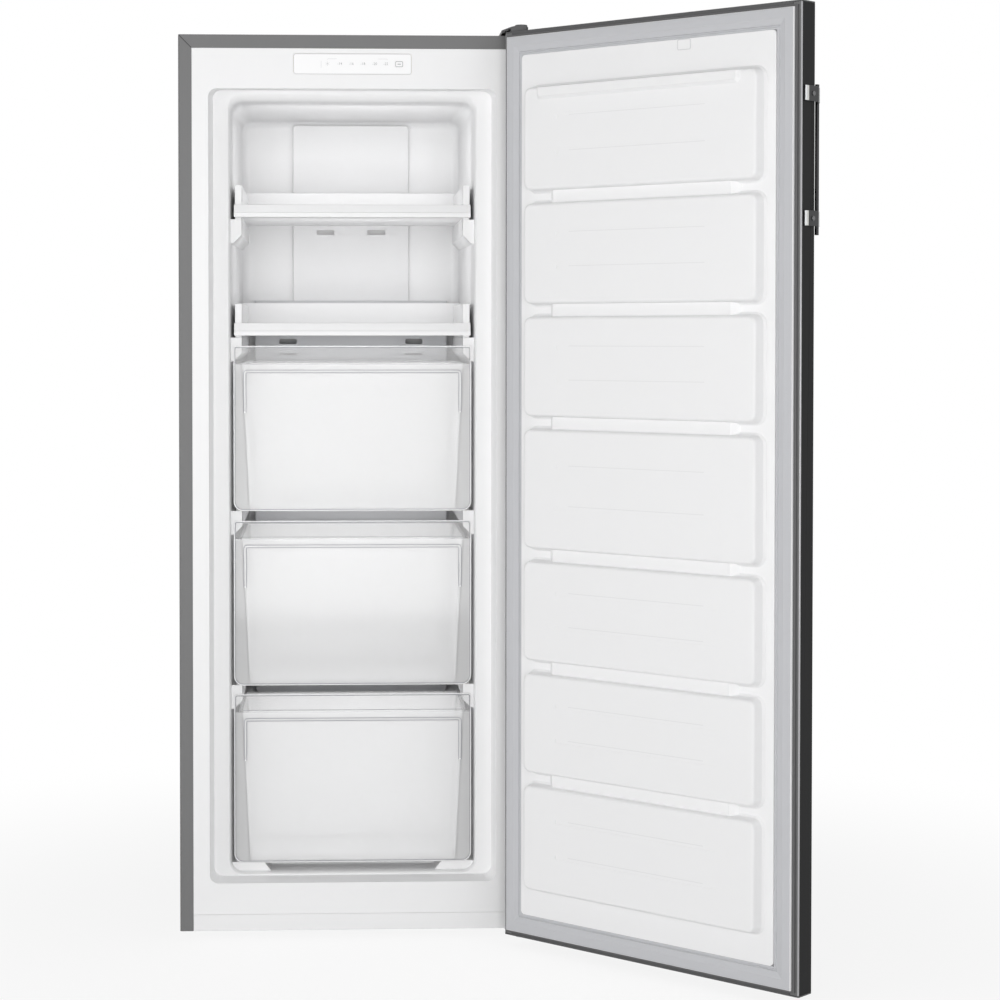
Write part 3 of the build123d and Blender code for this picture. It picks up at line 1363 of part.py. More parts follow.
cabinet = {
    "outer_casing": outer_casing(),
    "back_panel": back_panel(),
    "rear_spacers": rear_spacers(),
    "back_panel_screws": back_panel_screws(),
    "base_plate": base_plate(),
    "plinth_strip": plinth_strip(),
    "inner_liner": inner_liner(),
    "cabinet_foam": cabinet_foam(),
    "bay_wall": bay_wall(),
    "drain_tube": drain_tube(),
    "control_panel": control_panel(),
    "set_button": set_button(),
    "control_board": control_board(),
    "upper_duct_cover": upper_duct_cover(),
    "lower_duct_cover": lower_duct_cover(),
    "evaporator": evaporator(),
    "defrost_heater": defrost_heater(),
    "fan_ring": fan_ring(),
    "fan_motor": fan_motor(),
    "fan_blade": fan_blade(),
    "tray_upper": tray(rail_tops["tray_upper"]),
    "tray_lower": tray(rail_tops["tray_lower"]),
    "drawer_upper": drawer(rail_tops["drawer_upper"], drawer_heights[2], drawer_rear),
    "drawer_middle": drawer(rail_tops["drawer_middle"], drawer_heights[1], drawer_rear),
    "drawer_lower": drawer(ledge_top, drawer_heights[0], drawer_low_rear),
    "top_hinge_bracket": top_hinge_bracket(),
    "top_hinge_pin": top_hinge_pin(),
    "top_hinge_cap": top_hinge_cap(),
    "bottom_hinge_bracket": bottom_hinge_bracket(),
    "bottom_hinge_pin": bottom_hinge_pin(),
    "hinge_screws": hinge_screws(),
    "foot_left": levelling_foot(-1),
    "foot_right": levelling_foot(1),
    "foot_inserts": foot_inserts(),
    "roller_left": rear_roller(-1),
    "roller_right": rear_roller(1),
    "roller_brackets": roller_brackets(),
    "roller_axles": roller_axles(),
    "compressor": compressor(),
    "compressor_mounts": compressor_mounts(),
    "terminal_box": terminal_box(),
    "drip_tray": drip_tray(),
    "refrigerant_pipes": refrigerant_pipes(),
    "filter_drier": filter_drier(),
    "cord_gland": cord_gland(),
}

door = {
    "door_outer_shell": door_outer_shell(),
    "door_top_cap": door_top_cap(),
    "door_bottom_cap": door_bottom_cap(),
    "door_liner": door_liner(),
    "door_foam": door_foam(),
    "door_magnet": door_magnet(),
    "door_gasket": door_gasket(),
    "door_hinge_bushes": door_hinge_bushes(),
    "handle_bar": handle_bar(),
    "handle_bracket_upper": handle_bracket(bracket_zs[0]),
    "handle_bracket_lower": handle_bracket(bracket_zs[1]),
    "handle_screws": handle_screws(),
}


def as_compound(form):
    """One shape per node; separate identical pieces stay separate solids."""
    solids = []
    for item in form if isinstance(form, list) else [form]:
        solids += item.solids()
    return Compound(children=solids)


nodes = {name: as_compound(form) for name, form in cabinet.items()}
for name, form in door.items():
    nodes[name] = swing(as_compound(form))

boxes = [node.bounding_box() for node in nodes.values()]
low_x = min(b.min.X for b in boxes)
high_x = max(b.max.X for b in boxes)
low_y = min(b.min.Y for b in boxes)
high_y = max(b.max.Y for b in boxes)
low_z = min(b.min.Z for b in boxes)
high_z = max(b.max.Z for b in boxes)
origin = Vector((low_x + high_x) / 2, (low_y + high_y) / 2, low_z)

for name, node in nodes.items():
    export_step(node.moved(Location(-origin)), f"parts/{name}.step")

print(f"whole object {high_x - low_x:.1f} x {high_y - low_y:.1f} x {high_z - low_z:.1f} mm")
print(f"origin in the working frame {origin.X:.3f} {origin.Y:.3f} {origin.Z:.3f}")
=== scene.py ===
"""Upright freezer with its door open: finishes, fine pieces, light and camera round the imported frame."""

from __future__ import annotations

import json
import logging
import math
from collections.abc import Callable
from dataclasses import dataclass, field, replace
from enum import Enum

import bpy
import numpy as np
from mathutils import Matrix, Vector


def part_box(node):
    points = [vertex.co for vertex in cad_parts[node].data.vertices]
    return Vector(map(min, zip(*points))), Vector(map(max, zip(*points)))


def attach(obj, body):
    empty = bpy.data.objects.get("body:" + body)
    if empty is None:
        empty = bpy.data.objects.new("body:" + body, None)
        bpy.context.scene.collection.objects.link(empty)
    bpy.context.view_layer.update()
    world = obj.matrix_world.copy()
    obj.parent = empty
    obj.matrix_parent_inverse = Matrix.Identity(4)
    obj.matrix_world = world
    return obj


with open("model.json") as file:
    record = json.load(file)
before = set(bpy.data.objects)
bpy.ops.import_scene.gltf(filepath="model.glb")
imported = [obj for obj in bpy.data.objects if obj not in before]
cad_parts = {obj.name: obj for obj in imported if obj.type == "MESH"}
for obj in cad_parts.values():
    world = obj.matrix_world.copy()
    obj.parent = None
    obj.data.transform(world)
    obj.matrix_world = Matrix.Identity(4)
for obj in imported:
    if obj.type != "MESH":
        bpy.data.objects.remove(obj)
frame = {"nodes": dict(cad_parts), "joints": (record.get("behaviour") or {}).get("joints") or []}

LOG = logging.getLogger("freezer")
MM = 0.001
Pair = tuple[float, float]
Triple = tuple[float, float, float]
Sides = tuple[float, float, float, float]
Form = tuple[np.ndarray, np.ndarray]
Placing = Callable[[np.ndarray], np.ndarray]


# ---- finishes
class Grain(Enum):
    """Kind of fine structure on a surface."""

    FINE = "fine"
    BRUSHED = "brushed"
    CAST = "cast"


GRAIN_DETAIL: dict[Grain, float] = {Grain.FINE: 2.0, Grain.BRUSHED: 2.0, Grain.CAST: 3.0}
PLASTIC_IOR = 1.5
COAT_ROUGHNESS = 0.1
FACING_BLEND = 0.5
FACING_RANGE: Pair = (0.12, 0.85)
MILKY_SOFTNESS = 0.0015
LEAST_ROUGHNESS = 0.02
WHITE = (1.0, 1.0, 1.0, 1.0)


def set_inputs(node: bpy.types.Node, values: dict[str, object]) -> None:
    """Set the inputs of a shader node, by their names."""
    for title, value in values.items():
        node.inputs[title].default_value = value


def add_node(tree: bpy.types.NodeTree, kind: str, values: dict[str, object] | None = None,
             links: dict[int | str, bpy.types.NodeSocket] | None = None, **settings: str) -> bpy.types.Node:
    """Add a shader node with its settings, values and links.

    Args:
        tree: Node tree that takes it.
        kind: Its type, without the word ShaderNode.
        values: Values of its inputs, by their names.
        links: Sockets that lead into its inputs, by the inputs' names or numbers.
        settings: Options of the node, such as its operation.

    Returns:
        The new node.
    """
    node = tree.nodes.new(f"ShaderNode{kind}")
    for option, choice in settings.items():
        setattr(node, option, choice)
    set_inputs(node, values or {})
    for place, socket in (links or {}).items():
        tree.links.new(socket, node.inputs[place])
    return node


def map_range(tree: bpy.types.NodeTree, value: bpy.types.NodeSocket, source: Pair, target: Pair,
              interpolation: str = "LINEAR") -> bpy.types.NodeSocket:
    """Map a value from one range to another.

    Args:
        tree: Node tree that takes the node.
        value: Socket of the value.
        source: Its range.
        target: The range that it is mapped to.
        interpolation: How it runs between the ends.

    Returns:
        Socket of the mapped value.
    """
    values = {"From Min": source[0], "From Max": source[1], "To Min": target[0], "To Max": target[1]}
    node = add_node(tree, "MapRange", values, {"Value": value}, interpolation_type=interpolation)
    return node.outputs["Result"]


@dataclass(frozen=True)
class Structure:
    """Fine structure of a surface: kind, size and height in metres, spread of roughness, and stretch."""

    kind: Grain
    size: float
    depth: float
    mottle: float = 0.0
    along: Triple = (1.0, 1.0, 1.0)

    def add(self, tree: bpy.types.NodeTree, shader: bpy.types.Node, roughness: float) -> None:
        """Link noise on object coordinates to the bump and the roughness.

        Args:
            tree: Node tree of the material.
            shader: Its Principled shader.
            roughness: Mean roughness.
        """
        place = add_node(tree, "TexCoord")
        stretch = add_node(tree, "Mapping", {"Scale": self.along}, {"Vector": place.outputs["Object"]})
        noise = add_node(tree, "TexNoise", {"Scale": 1.0 / self.size, "Detail": GRAIN_DETAIL[self.kind]},
                         {"Vector": stretch.outputs["Vector"]}).outputs["Fac"]
        bump = add_node(tree, "Bump", {"Strength": 1.0, "Distance": self.depth}, {"Height": noise})
        tree.links.new(bump.outputs["Normal"], shader.inputs["Normal"])
        if self.mottle > 0:
            ends = (max(roughness - self.mottle, LEAST_ROUGHNESS), min(roughness + self.mottle, 1.0))
            tree.links.new(map_range(tree, noise, (0.0, 1.0), ends), shader.inputs["Roughness"])


@dataclass(frozen=True)
class Finish:
    """One finish of the freezer, with linear colours, named as a maker would, or for the painted highlight or
    painted shade it stands for.

    A clear finish goes from alpha, seen from the front, to edge_alpha, seen edge on. Where it has a
    milky_alpha, all below milky_below is milky_front, and all of that behind milky_behind is milky_alpha.
    """

    name: str
    colour: Triple
    roughness: float = 0.4
    metallic: float = 0.0
    specular: float = 0.5
    structure: Structure | None = None
    coat: float = 0.0
    alpha: float = 1.0
    edge_alpha: float = 0.0
    milky_alpha: float = 0.0
    milky_front: float = 0.0
    milky_below: float = 0.0
    milky_behind: float = 0.0

    def material(self) -> bpy.types.Material:
        """Build the material of this finish, or return the one already built.

        Returns:
            A node material with procedural structure on object coordinates.
        """
        title = f"{self.name}_finish"
        known = bpy.data.materials.get(title)
        if known is not None:
            return known
        mat = bpy.data.materials.new(title)
        mat.use_nodes = True
        tree = mat.node_tree
        shader = tree.nodes["Principled BSDF"]
        set_inputs(shader, {"Base Color": (*self.colour, 1.0), "Roughness": self.roughness,
                            "Metallic": self.metallic, "Specular IOR Level": self.specular,
                            "Coat Weight": self.coat, "Coat Roughness": COAT_ROUGHNESS, "IOR": PLASTIC_IOR,
                            "Alpha": self.alpha})
        if self.edge_alpha > 0:
            self._add_clear_edges(tree, shader)
        if self.structure is not None:
            self.structure.add(tree, shader, self.roughness)
        mat.diffuse_color = (*self.colour, 1.0)
        return mat

    def _add_clear_edges(self, tree: bpy.types.NodeTree, shader: bpy.types.Node) -> None:
        """Let a clear wall show more of itself where it is seen edge on.

        Args:
            tree: Node tree of the material.
            shader: Its Principled shader.
        """
        facing = add_node(tree, "LayerWeight", {"Blend": FACING_BLEND}).outputs["Facing"]
        alpha = map_range(tree, facing, FACING_RANGE, (self.alpha, self.edge_alpha), "SMOOTHSTEP")
        if self.milky_alpha > 0:
            alpha = self._add_milky_walls(tree, alpha)
        tree.links.new(alpha, shader.inputs["Alpha"])

    def _add_milky_walls(self, tree: bpy.types.NodeTree, clear: bpy.types.NodeSocket) -> bpy.types.NodeSocket:
        """Let all below milky_below be milky, and milkier still behind milky_behind, both in object metres.

        Two soft steps, one down the height and one along the depth, mix the clear walls with the milky ones.

        Args:
            tree: Node tree of the material.
            clear: Alpha of the clear walls.

        Returns:
            Alpha of all walls.
        """
        place = add_node(tree, "TexCoord")
        parts = add_node(tree, "SeparateXYZ", links={"Vector": place.outputs["Object"]}).outputs
        soft = MILKY_SOFTNESS
        down = map_range(tree, parts["Z"], (self.milky_below + soft, self.milky_below - soft), (0.0, 1.0))
        back = map_range(tree, parts["Y"], (self.milky_behind - soft, self.milky_behind + soft),
                         (self.milky_front, self.milky_alpha))
        factor, clear_side, milky_side = 0, 2, 3
        return add_node(tree, "Mix", links={factor: down, clear_side: clear, milky_side: back}).outputs[0]


CASING_GREY = Finish("casing_grey_paint", (0.165, 0.165, 0.166), 0.45, 0.0, 0.35,
                     structure=Structure(Grain.FINE, 0.0011, 0.00002, 0.05))
DOOR_CHARCOAL = Finish("door_charcoal_film", (0.009, 0.009, 0.0094), 0.45, 0.0, 0.13,
                       structure=Structure(Grain.BRUSHED, 0.0012, 0.000008, 0.06, (1.0, 1.0, 40.0)))
LINER_WHITE = Finish("liner_white_plastic", (0.87, 0.87, 0.874), 0.34, 0.0, 0.4,
                     structure=Structure(Grain.FINE, 0.014, 0.000006, 0.03))
DOOR_PANEL_WHITE = Finish("door_panel_white_plastic", (0.87, 0.87, 0.874), 0.38, 0.0, 0.35,
                          structure=Structure(Grain.FINE, 0.012, 0.000006, 0.03))
MOULDED_WHITE = Finish("moulded_white_plastic", (0.88, 0.88, 0.884), 0.32, 0.0, 0.4)
PANEL_WHITE = Finish("panel_white_plastic", (0.86, 0.86, 0.864), 0.36, 0.0, 0.4,
                     structure=Structure(Grain.FINE, 0.001, 0.000008, 0.03))
COVER_WHITE = Finish("cover_white", (0.86, 0.86, 0.865), 0.45, 0.0, 0.3)
# Painted shade: the lower duct cover is a darker white that stands in for the shade the drawers cast on it.
PAINTED_SHADE_WHITE = Finish("shaded_white", (0.66, 0.665, 0.682), 0.45, 0.0, 0.3)
CLEAR_PLASTIC = Finish("clear_plastic", (0.97, 0.97, 0.975), 0.06, 0.0, 0.6, alpha=0.14, edge_alpha=0.5,
                       milky_alpha=0.8, milky_front=0.40)
# Painted shade and painted highlight: dark and light lines that stand in for the refraction and reflections
# along a clear drawer's edges.
CLEAR_EDGE_PAINTED_SHADE = Finish("clear_edge_shade", (0.29, 0.295, 0.31), 0.25, 0.0, 0.4)
CLEAR_EDGE_PAINTED_HIGHLIGHT = Finish("clear_edge_light", (0.95, 0.95, 0.96), 0.15, 0.0, 0.6, alpha=0.85)
CONTROL_WHITE = Finish("control_panel_white", (0.94, 0.94, 0.944), 0.34, 0.0, 0.4)
# Grey for the printed lines of the control panel, and for painted shade round the door's sensor pad.
PRINT_AND_SHADE_LINE = Finish("panel_line_grey", (0.66, 0.66, 0.67), 0.5)
# Painted shade: a darker white line that stands in for the shade along each groove of the door panel.
GROOVE_PAINTED_SHADE = Finish("groove_line_white", (0.80, 0.80, 0.805), 0.4, 0.0, 0.35)
# Painted shade and painted highlight on the grey gasket: a dark outer lip and a white side wall.
GASKET_LIP_SHADE = Finish("gasket_outer_lip", (0.12, 0.12, 0.122), 0.5, 0.0, 0.3)
GASKET_SIDE_HIGHLIGHT = Finish("gasket_side_white", (0.82, 0.82, 0.83), 0.5, 0.0, 0.3)
DARK_PLASTIC = Finish("dark_plastic", (0.06, 0.06, 0.062), 0.45,
                      structure=Structure(Grain.FINE, 0.0009, 0.00003, 0.05))
GASKET_GREY = Finish("gasket_grey", (0.55, 0.555, 0.575), 0.55, 0.0, 0.25,
                     structure=Structure(Grain.FINE, 0.003, 0.00002, 0.04))
FOAM = Finish("rigid_foam", (0.78, 0.66, 0.40), 0.9, structure=Structure(Grain.CAST, 0.002, 0.0004))
ZINC = Finish("zinc_steel", (0.56, 0.57, 0.58), 0.38, 0.9,
              structure=Structure(Grain.CAST, 0.012, 0.00002, 0.1))
BRUSHED_BAR = Finish("brushed_handle_metal", (0.045, 0.045, 0.047), 0.3, 1.0,
                     structure=Structure(Grain.BRUSHED, 0.0012, 0.00001, 0.08, (1.0, 1.0, 0.05)))
BRIGHT_STEEL = Finish("bright_steel", (0.66, 0.67, 0.68), 0.25, 1.0,
                      structure=Structure(Grain.FINE, 0.004, 0.00001, 0.06))
BRACKET_DARK = Finish("dark_bracket_steel", (0.06, 0.06, 0.062), 0.35, 1.0,
                      structure=Structure(Grain.FINE, 0.002, 0.00001, 0.06))
SCREW_DARK = Finish("dark_screw_steel", (0.16, 0.16, 0.165), 0.25, 1.0)
FLANGE_GREY = Finish("door_flange_grey", (0.135, 0.135, 0.137), 0.4, 0.0, 0.4)
# Painted highlight: a lighter grey for the light that a sheet's bend catches, on the door's wrap and beside
# the casing's mitres.
BEND_HIGHLIGHT = Finish("bright_door_bend", (0.40, 0.40, 0.41), 0.4, 0.3)
PRINT_GREY = Finish("print_grey", (0.40, 0.40, 0.41), 0.5)
JOINT_DARK = Finish("joint_shadow", (0.03, 0.03, 0.03), 0.7)
POT_BLACK = Finish("black_enamel", (0.012, 0.012, 0.013), 0.3, coat=0.4,
                   structure=Structure(Grain.CAST, 0.004, 0.0001, 0.08))
BLACK_RUBBER = Finish("black_rubber", (0.018, 0.018, 0.019), 0.65,
                      structure=Structure(Grain.FINE, 0.001, 0.00003))
BLACK_PLASTIC = Finish("black_plastic", (0.022, 0.022, 0.024), 0.42,
                       structure=Structure(Grain.FINE, 0.0009, 0.00003, 0.05))
COPPER = Finish("drawn_copper", (0.78, 0.36, 0.22), 0.28, 1.0,
                structure=Structure(Grain.FINE, 0.006, 0.00002, 0.12))
# Plain aluminium for the evaporator; on the handle brackets, a painted sheen that stands in for reflected
# light.
ALUMINIUM_AND_PAINTED_SHEEN = Finish("plain_aluminium", (0.78, 0.79, 0.80), 0.35, 1.0,
                   structure=Structure(Grain.FINE, 0.002, 0.00002, 0.08))
BOARD_GREEN = Finish("board_green", (0.02, 0.14, 0.05), 0.35)
# White for the drain tube and hinge bushes; on the handle brackets, a painted highlight.
BUSH_WHITE_AND_PAINTED_HIGHLIGHT = Finish("bush_white", (0.75, 0.75, 0.72), 0.4)
MAGNET_GREY = Finish("magnet_grey", (0.06, 0.06, 0.065), 0.5)

NODES_BY_FINISH: dict[Finish, tuple[str, ...]] = {
    CASING_GREY: ("outer_casing",),
    ZINC: ("back_panel", "base_plate", "bay_wall", "fan_motor", "top_hinge_bracket",
           "bottom_hinge_bracket", "roller_brackets"),
    BLACK_PLASTIC: ("rear_spacers", "fan_ring", "fan_blade", "foot_left", "foot_right", "foot_inserts",
                    "roller_left", "roller_right", "terminal_box", "drip_tray", "cord_gland"),
    BRIGHT_STEEL: ("back_panel_screws", "defrost_heater", "top_hinge_pin", "bottom_hinge_pin",
                   "hinge_screws", "roller_axles"),
    PANEL_WHITE: ("plinth_strip",),
    LINER_WHITE: ("inner_liner",),
    FOAM: ("cabinet_foam", "door_foam"),
    BUSH_WHITE_AND_PAINTED_HIGHLIGHT: ("drain_tube", "door_hinge_bushes"),
    CONTROL_WHITE: ("control_panel", "set_button"),
    BOARD_GREEN: ("control_board",),
    COVER_WHITE: ("upper_duct_cover",),
    # The lower duct cover takes the darker white of painted shade.
    PAINTED_SHADE_WHITE: ("lower_duct_cover",),
    ALUMINIUM_AND_PAINTED_SHEEN: ("evaporator",),
    MOULDED_WHITE: ("tray_upper", "tray_lower"),
    CLEAR_PLASTIC: ("drawer_upper", "drawer_middle", "drawer_lower"),
    DARK_PLASTIC: ("top_hinge_cap", "door_top_cap", "door_bottom_cap"),
    POT_BLACK: ("compressor",),
    BLACK_RUBBER: ("compressor_mounts",),
    COPPER: ("refrigerant_pipes", "filter_drier"),
    DOOR_CHARCOAL: ("door_outer_shell",),
    DOOR_PANEL_WHITE: ("door_liner",),
    MAGNET_GREY: ("door_magnet",),
    GASKET_GREY: ("door_gasket",),
    BRUSHED_BAR: ("handle_bar",),
    BRACKET_DARK: ("handle_bracket_upper", "handle_bracket_lower"),
    SCREW_DARK: ("handle_screws",),
}
NODE_FINISHES = {name: finish for finish, names in NODES_BY_FINISH.items() for name in names}


WELD_REACH = 0.00002
FLOW_WEIGHT = 60


@dataclass(frozen=True)
class EdgeRounding:
    """Small rounding that a finish's own thickness gives to the edges of a node.

    width is the rounding in metres, and edges that turn by more than angle degrees get it. Where the shade is
    flowing, the small faces between two large ones share their shades, as on a vacuum-formed sheet.
    """

    width: float
    segments: int = 2
    angle: float = 25.0
    flowing: bool = False

    def apply(self, node: bpy.types.Object) -> None:
        """Join the node's loose faces, then round its edges.

        Args:
            node: CAD node whose mesh stays as it is.
        """
        weld = node.modifiers.new("joined_faces", "WELD")
        weld.merge_threshold = WELD_REACH
        bevel = node.modifiers.new("rounded_edges", "BEVEL")
        bevel.width = self.width
        bevel.segments = self.segments
        bevel.limit_method = "ANGLE"
        bevel.angle_limit = math.radians(self.angle)
        bevel.harden_normals = not self.flowing
        if self.flowing:
            node.data.polygons.foreach_set("use_smooth", np.ones(len(node.data.polygons), bool))
            flow = node.modifiers.new("flowing_shade", "WEIGHTED_NORMAL")
            flow.weight = FLOW_WEIGHT
            flow.keep_sharp = False


SHEET_EDGE = EdgeRounding(0.0004)
MOULDED_EDGE = EdgeRounding(0.0008)
SOFT_EDGE = EdgeRounding(0.0012, 3, 33.0, flowing=True)

NODES_BY_EDGE: dict[EdgeRounding, tuple[str, ...]] = {
    SHEET_EDGE: ("outer_casing", "top_hinge_bracket", "bottom_hinge_bracket", "door_gasket",
                 "handle_bracket_upper", "handle_bracket_lower", "back_panel"),
    SOFT_EDGE: ("inner_liner", "door_liner"),
    MOULDED_EDGE: ("plinth_strip", "control_panel", "set_button", "upper_duct_cover", "lower_duct_cover",
                   "tray_upper", "tray_lower", "drawer_upper", "drawer_middle", "drawer_lower",
                   "top_hinge_cap", "door_outer_shell", "door_top_cap", "door_bottom_cap", "handle_bar",
                   "compressor", "terminal_box", "drip_tray"),
}
NODE_EDGES = {name: edge for edge, names in NODES_BY_EDGE.items() for name in names}


# ---- frames
@dataclass
class CabinetFrame:
    """Places in the cabinet's millimetres: X from its middle, Y from its front plane, Z from the floor."""

    origin: np.ndarray = field(init=False)

    def __post_init__(self) -> None:
        """Read the cabinet's middle and front from the casing."""
        low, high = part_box("outer_casing")
        self.origin = np.array([(low.x + high.x) / 2, low.y, 0.0])

    def points(self, millimetres: np.ndarray) -> np.ndarray:
        """Turn cabinet millimetres into the row frame's metres."""
        return np.asarray(millimetres, float) * MM + self.origin

    def millimetres(self, metres: np.ndarray) -> np.ndarray:
        """Turn the row frame's metres into cabinet millimetres."""
        return (np.asarray(metres, float) - self.origin) / MM


INWARD = np.array([0.0, 1.0, 0.0])


@dataclass
class DoorFrame:
    """Places in the closed door's millimetres, turned with the door to where it stands open."""

    cabinet: CabinetFrame
    opening: float = 135.66
    pin: np.ndarray = field(init=False)

    def __post_init__(self) -> None:
        """Read the hinge's upright axis from the frame's joints."""
        hinge = next(joint for joint in frame["joints"] if joint["name"] == "door_hinge")
        self.pin = np.array([*hinge["pos_m"][:2], 0.0])

    @staticmethod
    def _upright_turn(degrees: float) -> np.ndarray:
        """Matrix of a turn about the upright, against the clock seen from above."""
        cosine, sine = math.cos(math.radians(degrees)), math.sin(math.radians(degrees))
        return np.array([[cosine, -sine, 0.0], [sine, cosine, 0.0], [0.0, 0.0, 1.0]])

    def turned(self, vectors: np.ndarray) -> np.ndarray:
        """Turn vectors of the closed door by the opening angle about the upright."""
        return np.asarray(vectors, float) @ self._upright_turn(self.opening).T

    def closed(self, metres: np.ndarray) -> np.ndarray:
        """Turn points of the open door, in the row frame's metres, into the closed door's millimetres."""
        back = (np.asarray(metres, float) - self.pin) @ self._upright_turn(-self.opening).T
        return self.cabinet.millimetres(back + self.pin)

    def points(self, millimetres: np.ndarray) -> np.ndarray:
        """Turn the closed door's millimetres into the row frame's metres at rest."""
        return self.turned(self.cabinet.points(millimetres) - self.pin) + self.pin


# ---- forms
def in_metres(millimetres: np.ndarray) -> np.ndarray:
    """Turn millimetres of the row frame into its metres."""
    return millimetres * MM


def make_piece(name: str, forms: list[Form], place: Placing, finish: Finish, body: str) -> None:
    """Join forms into one piece of the scene and let it ride on its body.

    Args:
        name: Name of the piece.
        forms: Vertices in millimetres and faces of each form.
        place: Function that turns the vertices into the row frame's metres.
        finish: Finish of the piece.
        body: Name of the body it rides on.
    """
    starts = np.cumsum([0] + [len(points) for points, _ in forms[:-1]])
    faces = np.concatenate([rows + start for start, (_, rows) in zip(starts, forms)])
    vertices = place(np.concatenate([points for points, _ in forms]))
    mesh = bpy.data.meshes.new(name)
    mesh.from_pydata(vertices.tolist(), [], faces.tolist())
    mesh.materials.append(finish.material())
    piece = bpy.data.objects.new(name, mesh)
    bpy.context.scene.collection.objects.link(piece)
    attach(piece, body)
    LOG.info("%s: %d faces", name, len(faces))


SHARPEST_CORNER = 0.4


def line_form(path: np.ndarray, width: float, low: float, high: float, closed: bool = False) -> Form:
    """Flat raised line: a rectangle of the given width carried along a path in the X-Z plane.

    At each point the sideways step is the path's direction turned a quarter, and it lengthens at corners by
    the inverse cosine of half the turn, so that the line keeps its width.

    Args:
        path: Points (n, 2) as X and Z.
        width: Width of the line.
        low: Y of its back.
        high: Y of its front.
        closed: Whether the last point joins the first.

    Returns:
        Vertices (4 n, 3) and quads (m, 4).
    """
    ahead = np.roll(path, -1, axis=0) - path
    behind = path - np.roll(path, 1, axis=0)
    if not closed:
        ahead[-1] = behind[-1]
        behind[0] = ahead[0]
    ahead = ahead / np.linalg.norm(ahead, axis=1, keepdims=True)
    behind = behind / np.linalg.norm(behind, axis=1, keepdims=True)
    mean = ahead + behind
    mean = mean / np.linalg.norm(mean, axis=1, keepdims=True)
    side = np.stack([-mean[:, 1], mean[:, 0]], axis=1)
    stretch = 1.0 / np.clip((mean * ahead).sum(axis=1, keepdims=True), SHARPEST_CORNER, 1.0)
    left = path + side * stretch * width / 2
    right = path - side * stretch * width / 2
    count = len(path)
    rings = np.empty((count, 4, 3))
    for column, (edge, depth) in enumerate(((left, low), (right, low), (right, high), (left, high))):
        rings[:, column, 0] = edge[:, 0]
        rings[:, column, 1] = depth
        rings[:, column, 2] = edge[:, 1]
    last = count if closed else count - 1
    start = np.arange(last)[:, None] * 4
    following = (np.arange(last)[:, None] + 1) % count * 4
    here = np.arange(4)[None, :]
    beside = (here + 1) % 4
    quads = np.stack([start + here, start + beside, following + beside, following + here], axis=-1)
    quads = quads.reshape(-1, 4)
    if not closed:
        caps = np.array([[3, 2, 1, 0], [4 * count - 4, 4 * count - 3, 4 * count - 2, 4 * count - 1]])
        quads = np.concatenate([quads, caps])
    return rings.reshape(-1, 3), quads


def quarter_arc(centre: Pair, radius: float, quarter: int, steps: int = 6) -> np.ndarray:
    """Quarter circle against the clock: centre plus radius times cosine and sine of its angles.

    Args:
        centre: X and Z of its centre.
        radius: Its radius.
        quarter: 0 starts at the right side, 1 at the top, 2 at the left and 3 at the bottom.
        steps: Parts of the arc.

    Returns:
        Points (steps + 1, 2).
    """
    angles = np.linspace(0.0, 0.5 * math.pi, steps + 1) + quarter * 0.5 * math.pi
    return np.array(centre) + radius * np.stack([np.cos(angles), np.sin(angles)], axis=1)


def rounded_frame(sides: Sides, radius: float) -> np.ndarray:
    """Outline of a rounded rectangle, counted from its lower right corner against the clock.

    Args:
        sides: Left, right, lower and upper side.
        radius: Corner radius.

    Returns:
        Points of the four corners, (28, 2).
    """
    low_x, high_x, low_z, high_z = sides
    corners = (((high_x - radius, low_z + radius), 3), ((high_x - radius, high_z - radius), 0),
               ((low_x + radius, high_z - radius), 1), ((low_x + radius, low_z + radius), 2))
    return np.concatenate([quarter_arc(centre, radius, quarter) for centre, quarter in corners])


def box_form(x_sides: Pair, y_sides: Pair, z_sides: Pair) -> Form:
    """Cuboid between two sides along each axis."""
    corners = np.array([(x, y, z) for x in x_sides for y in y_sides for z in z_sides])
    quads = np.array([(0, 1, 3, 2), (4, 6, 7, 5), (0, 4, 5, 1), (2, 3, 7, 6), (0, 2, 6, 4), (1, 5, 7, 3)])
    return corners, quads


def drawn_in(sides: Sides, inset: float) -> Sides:
    """Left, right, lower and upper side, each moved inward by inset."""
    return sides[0] + inset, sides[1] - inset, sides[2] + inset, sides[3] - inset


@dataclass(frozen=True)
class FineLine:
    """A flat line beside an edge, in millimetres.

    inset is its way from the edge to its middle, and back and front are the depths of its two faces, counted
    along Y from the face that it lies on.
    """

    inset: float
    width: float
    back: float
    front: float

    def drawn(self, path: np.ndarray, face: float, closed: bool = False) -> Form:
        """Form of the line along a path of X and Z, on the face that lies at the given Y."""
        return line_form(path, self.width, face + self.back, face + self.front, closed)


def face_vectors(node: bpy.types.Object, kind: str) -> np.ndarray:
    """Read a vector of each face of a node.

    Args:
        node: CAD node.
        kind: "center" or "normal".

    Returns:
        Vectors (n, 3) in the row frame.
    """
    values = np.empty(len(node.data.polygons) * 3)
    node.data.polygons.foreach_get(kind, values)
    return values.reshape(-1, 3)


def paint_faces(node: bpy.types.Object, slots: np.ndarray, finishes: tuple[Finish, ...]) -> None:
    """Give some faces of a dressed node finishes of their own.

    Args:
        node: CAD node with its first finish.
        slots: Slot of each face, where 0 keeps the first finish.
        finishes: Finishes of slot 1 and on.
    """
    for finish in finishes:
        node.data.materials.append(finish.material())
    node.data.polygons.foreach_set("material_index", slots.astype(np.int32))
    LOG.info("%s: %d faces with finishes of their own", node.name, int((slots > 0).sum()))


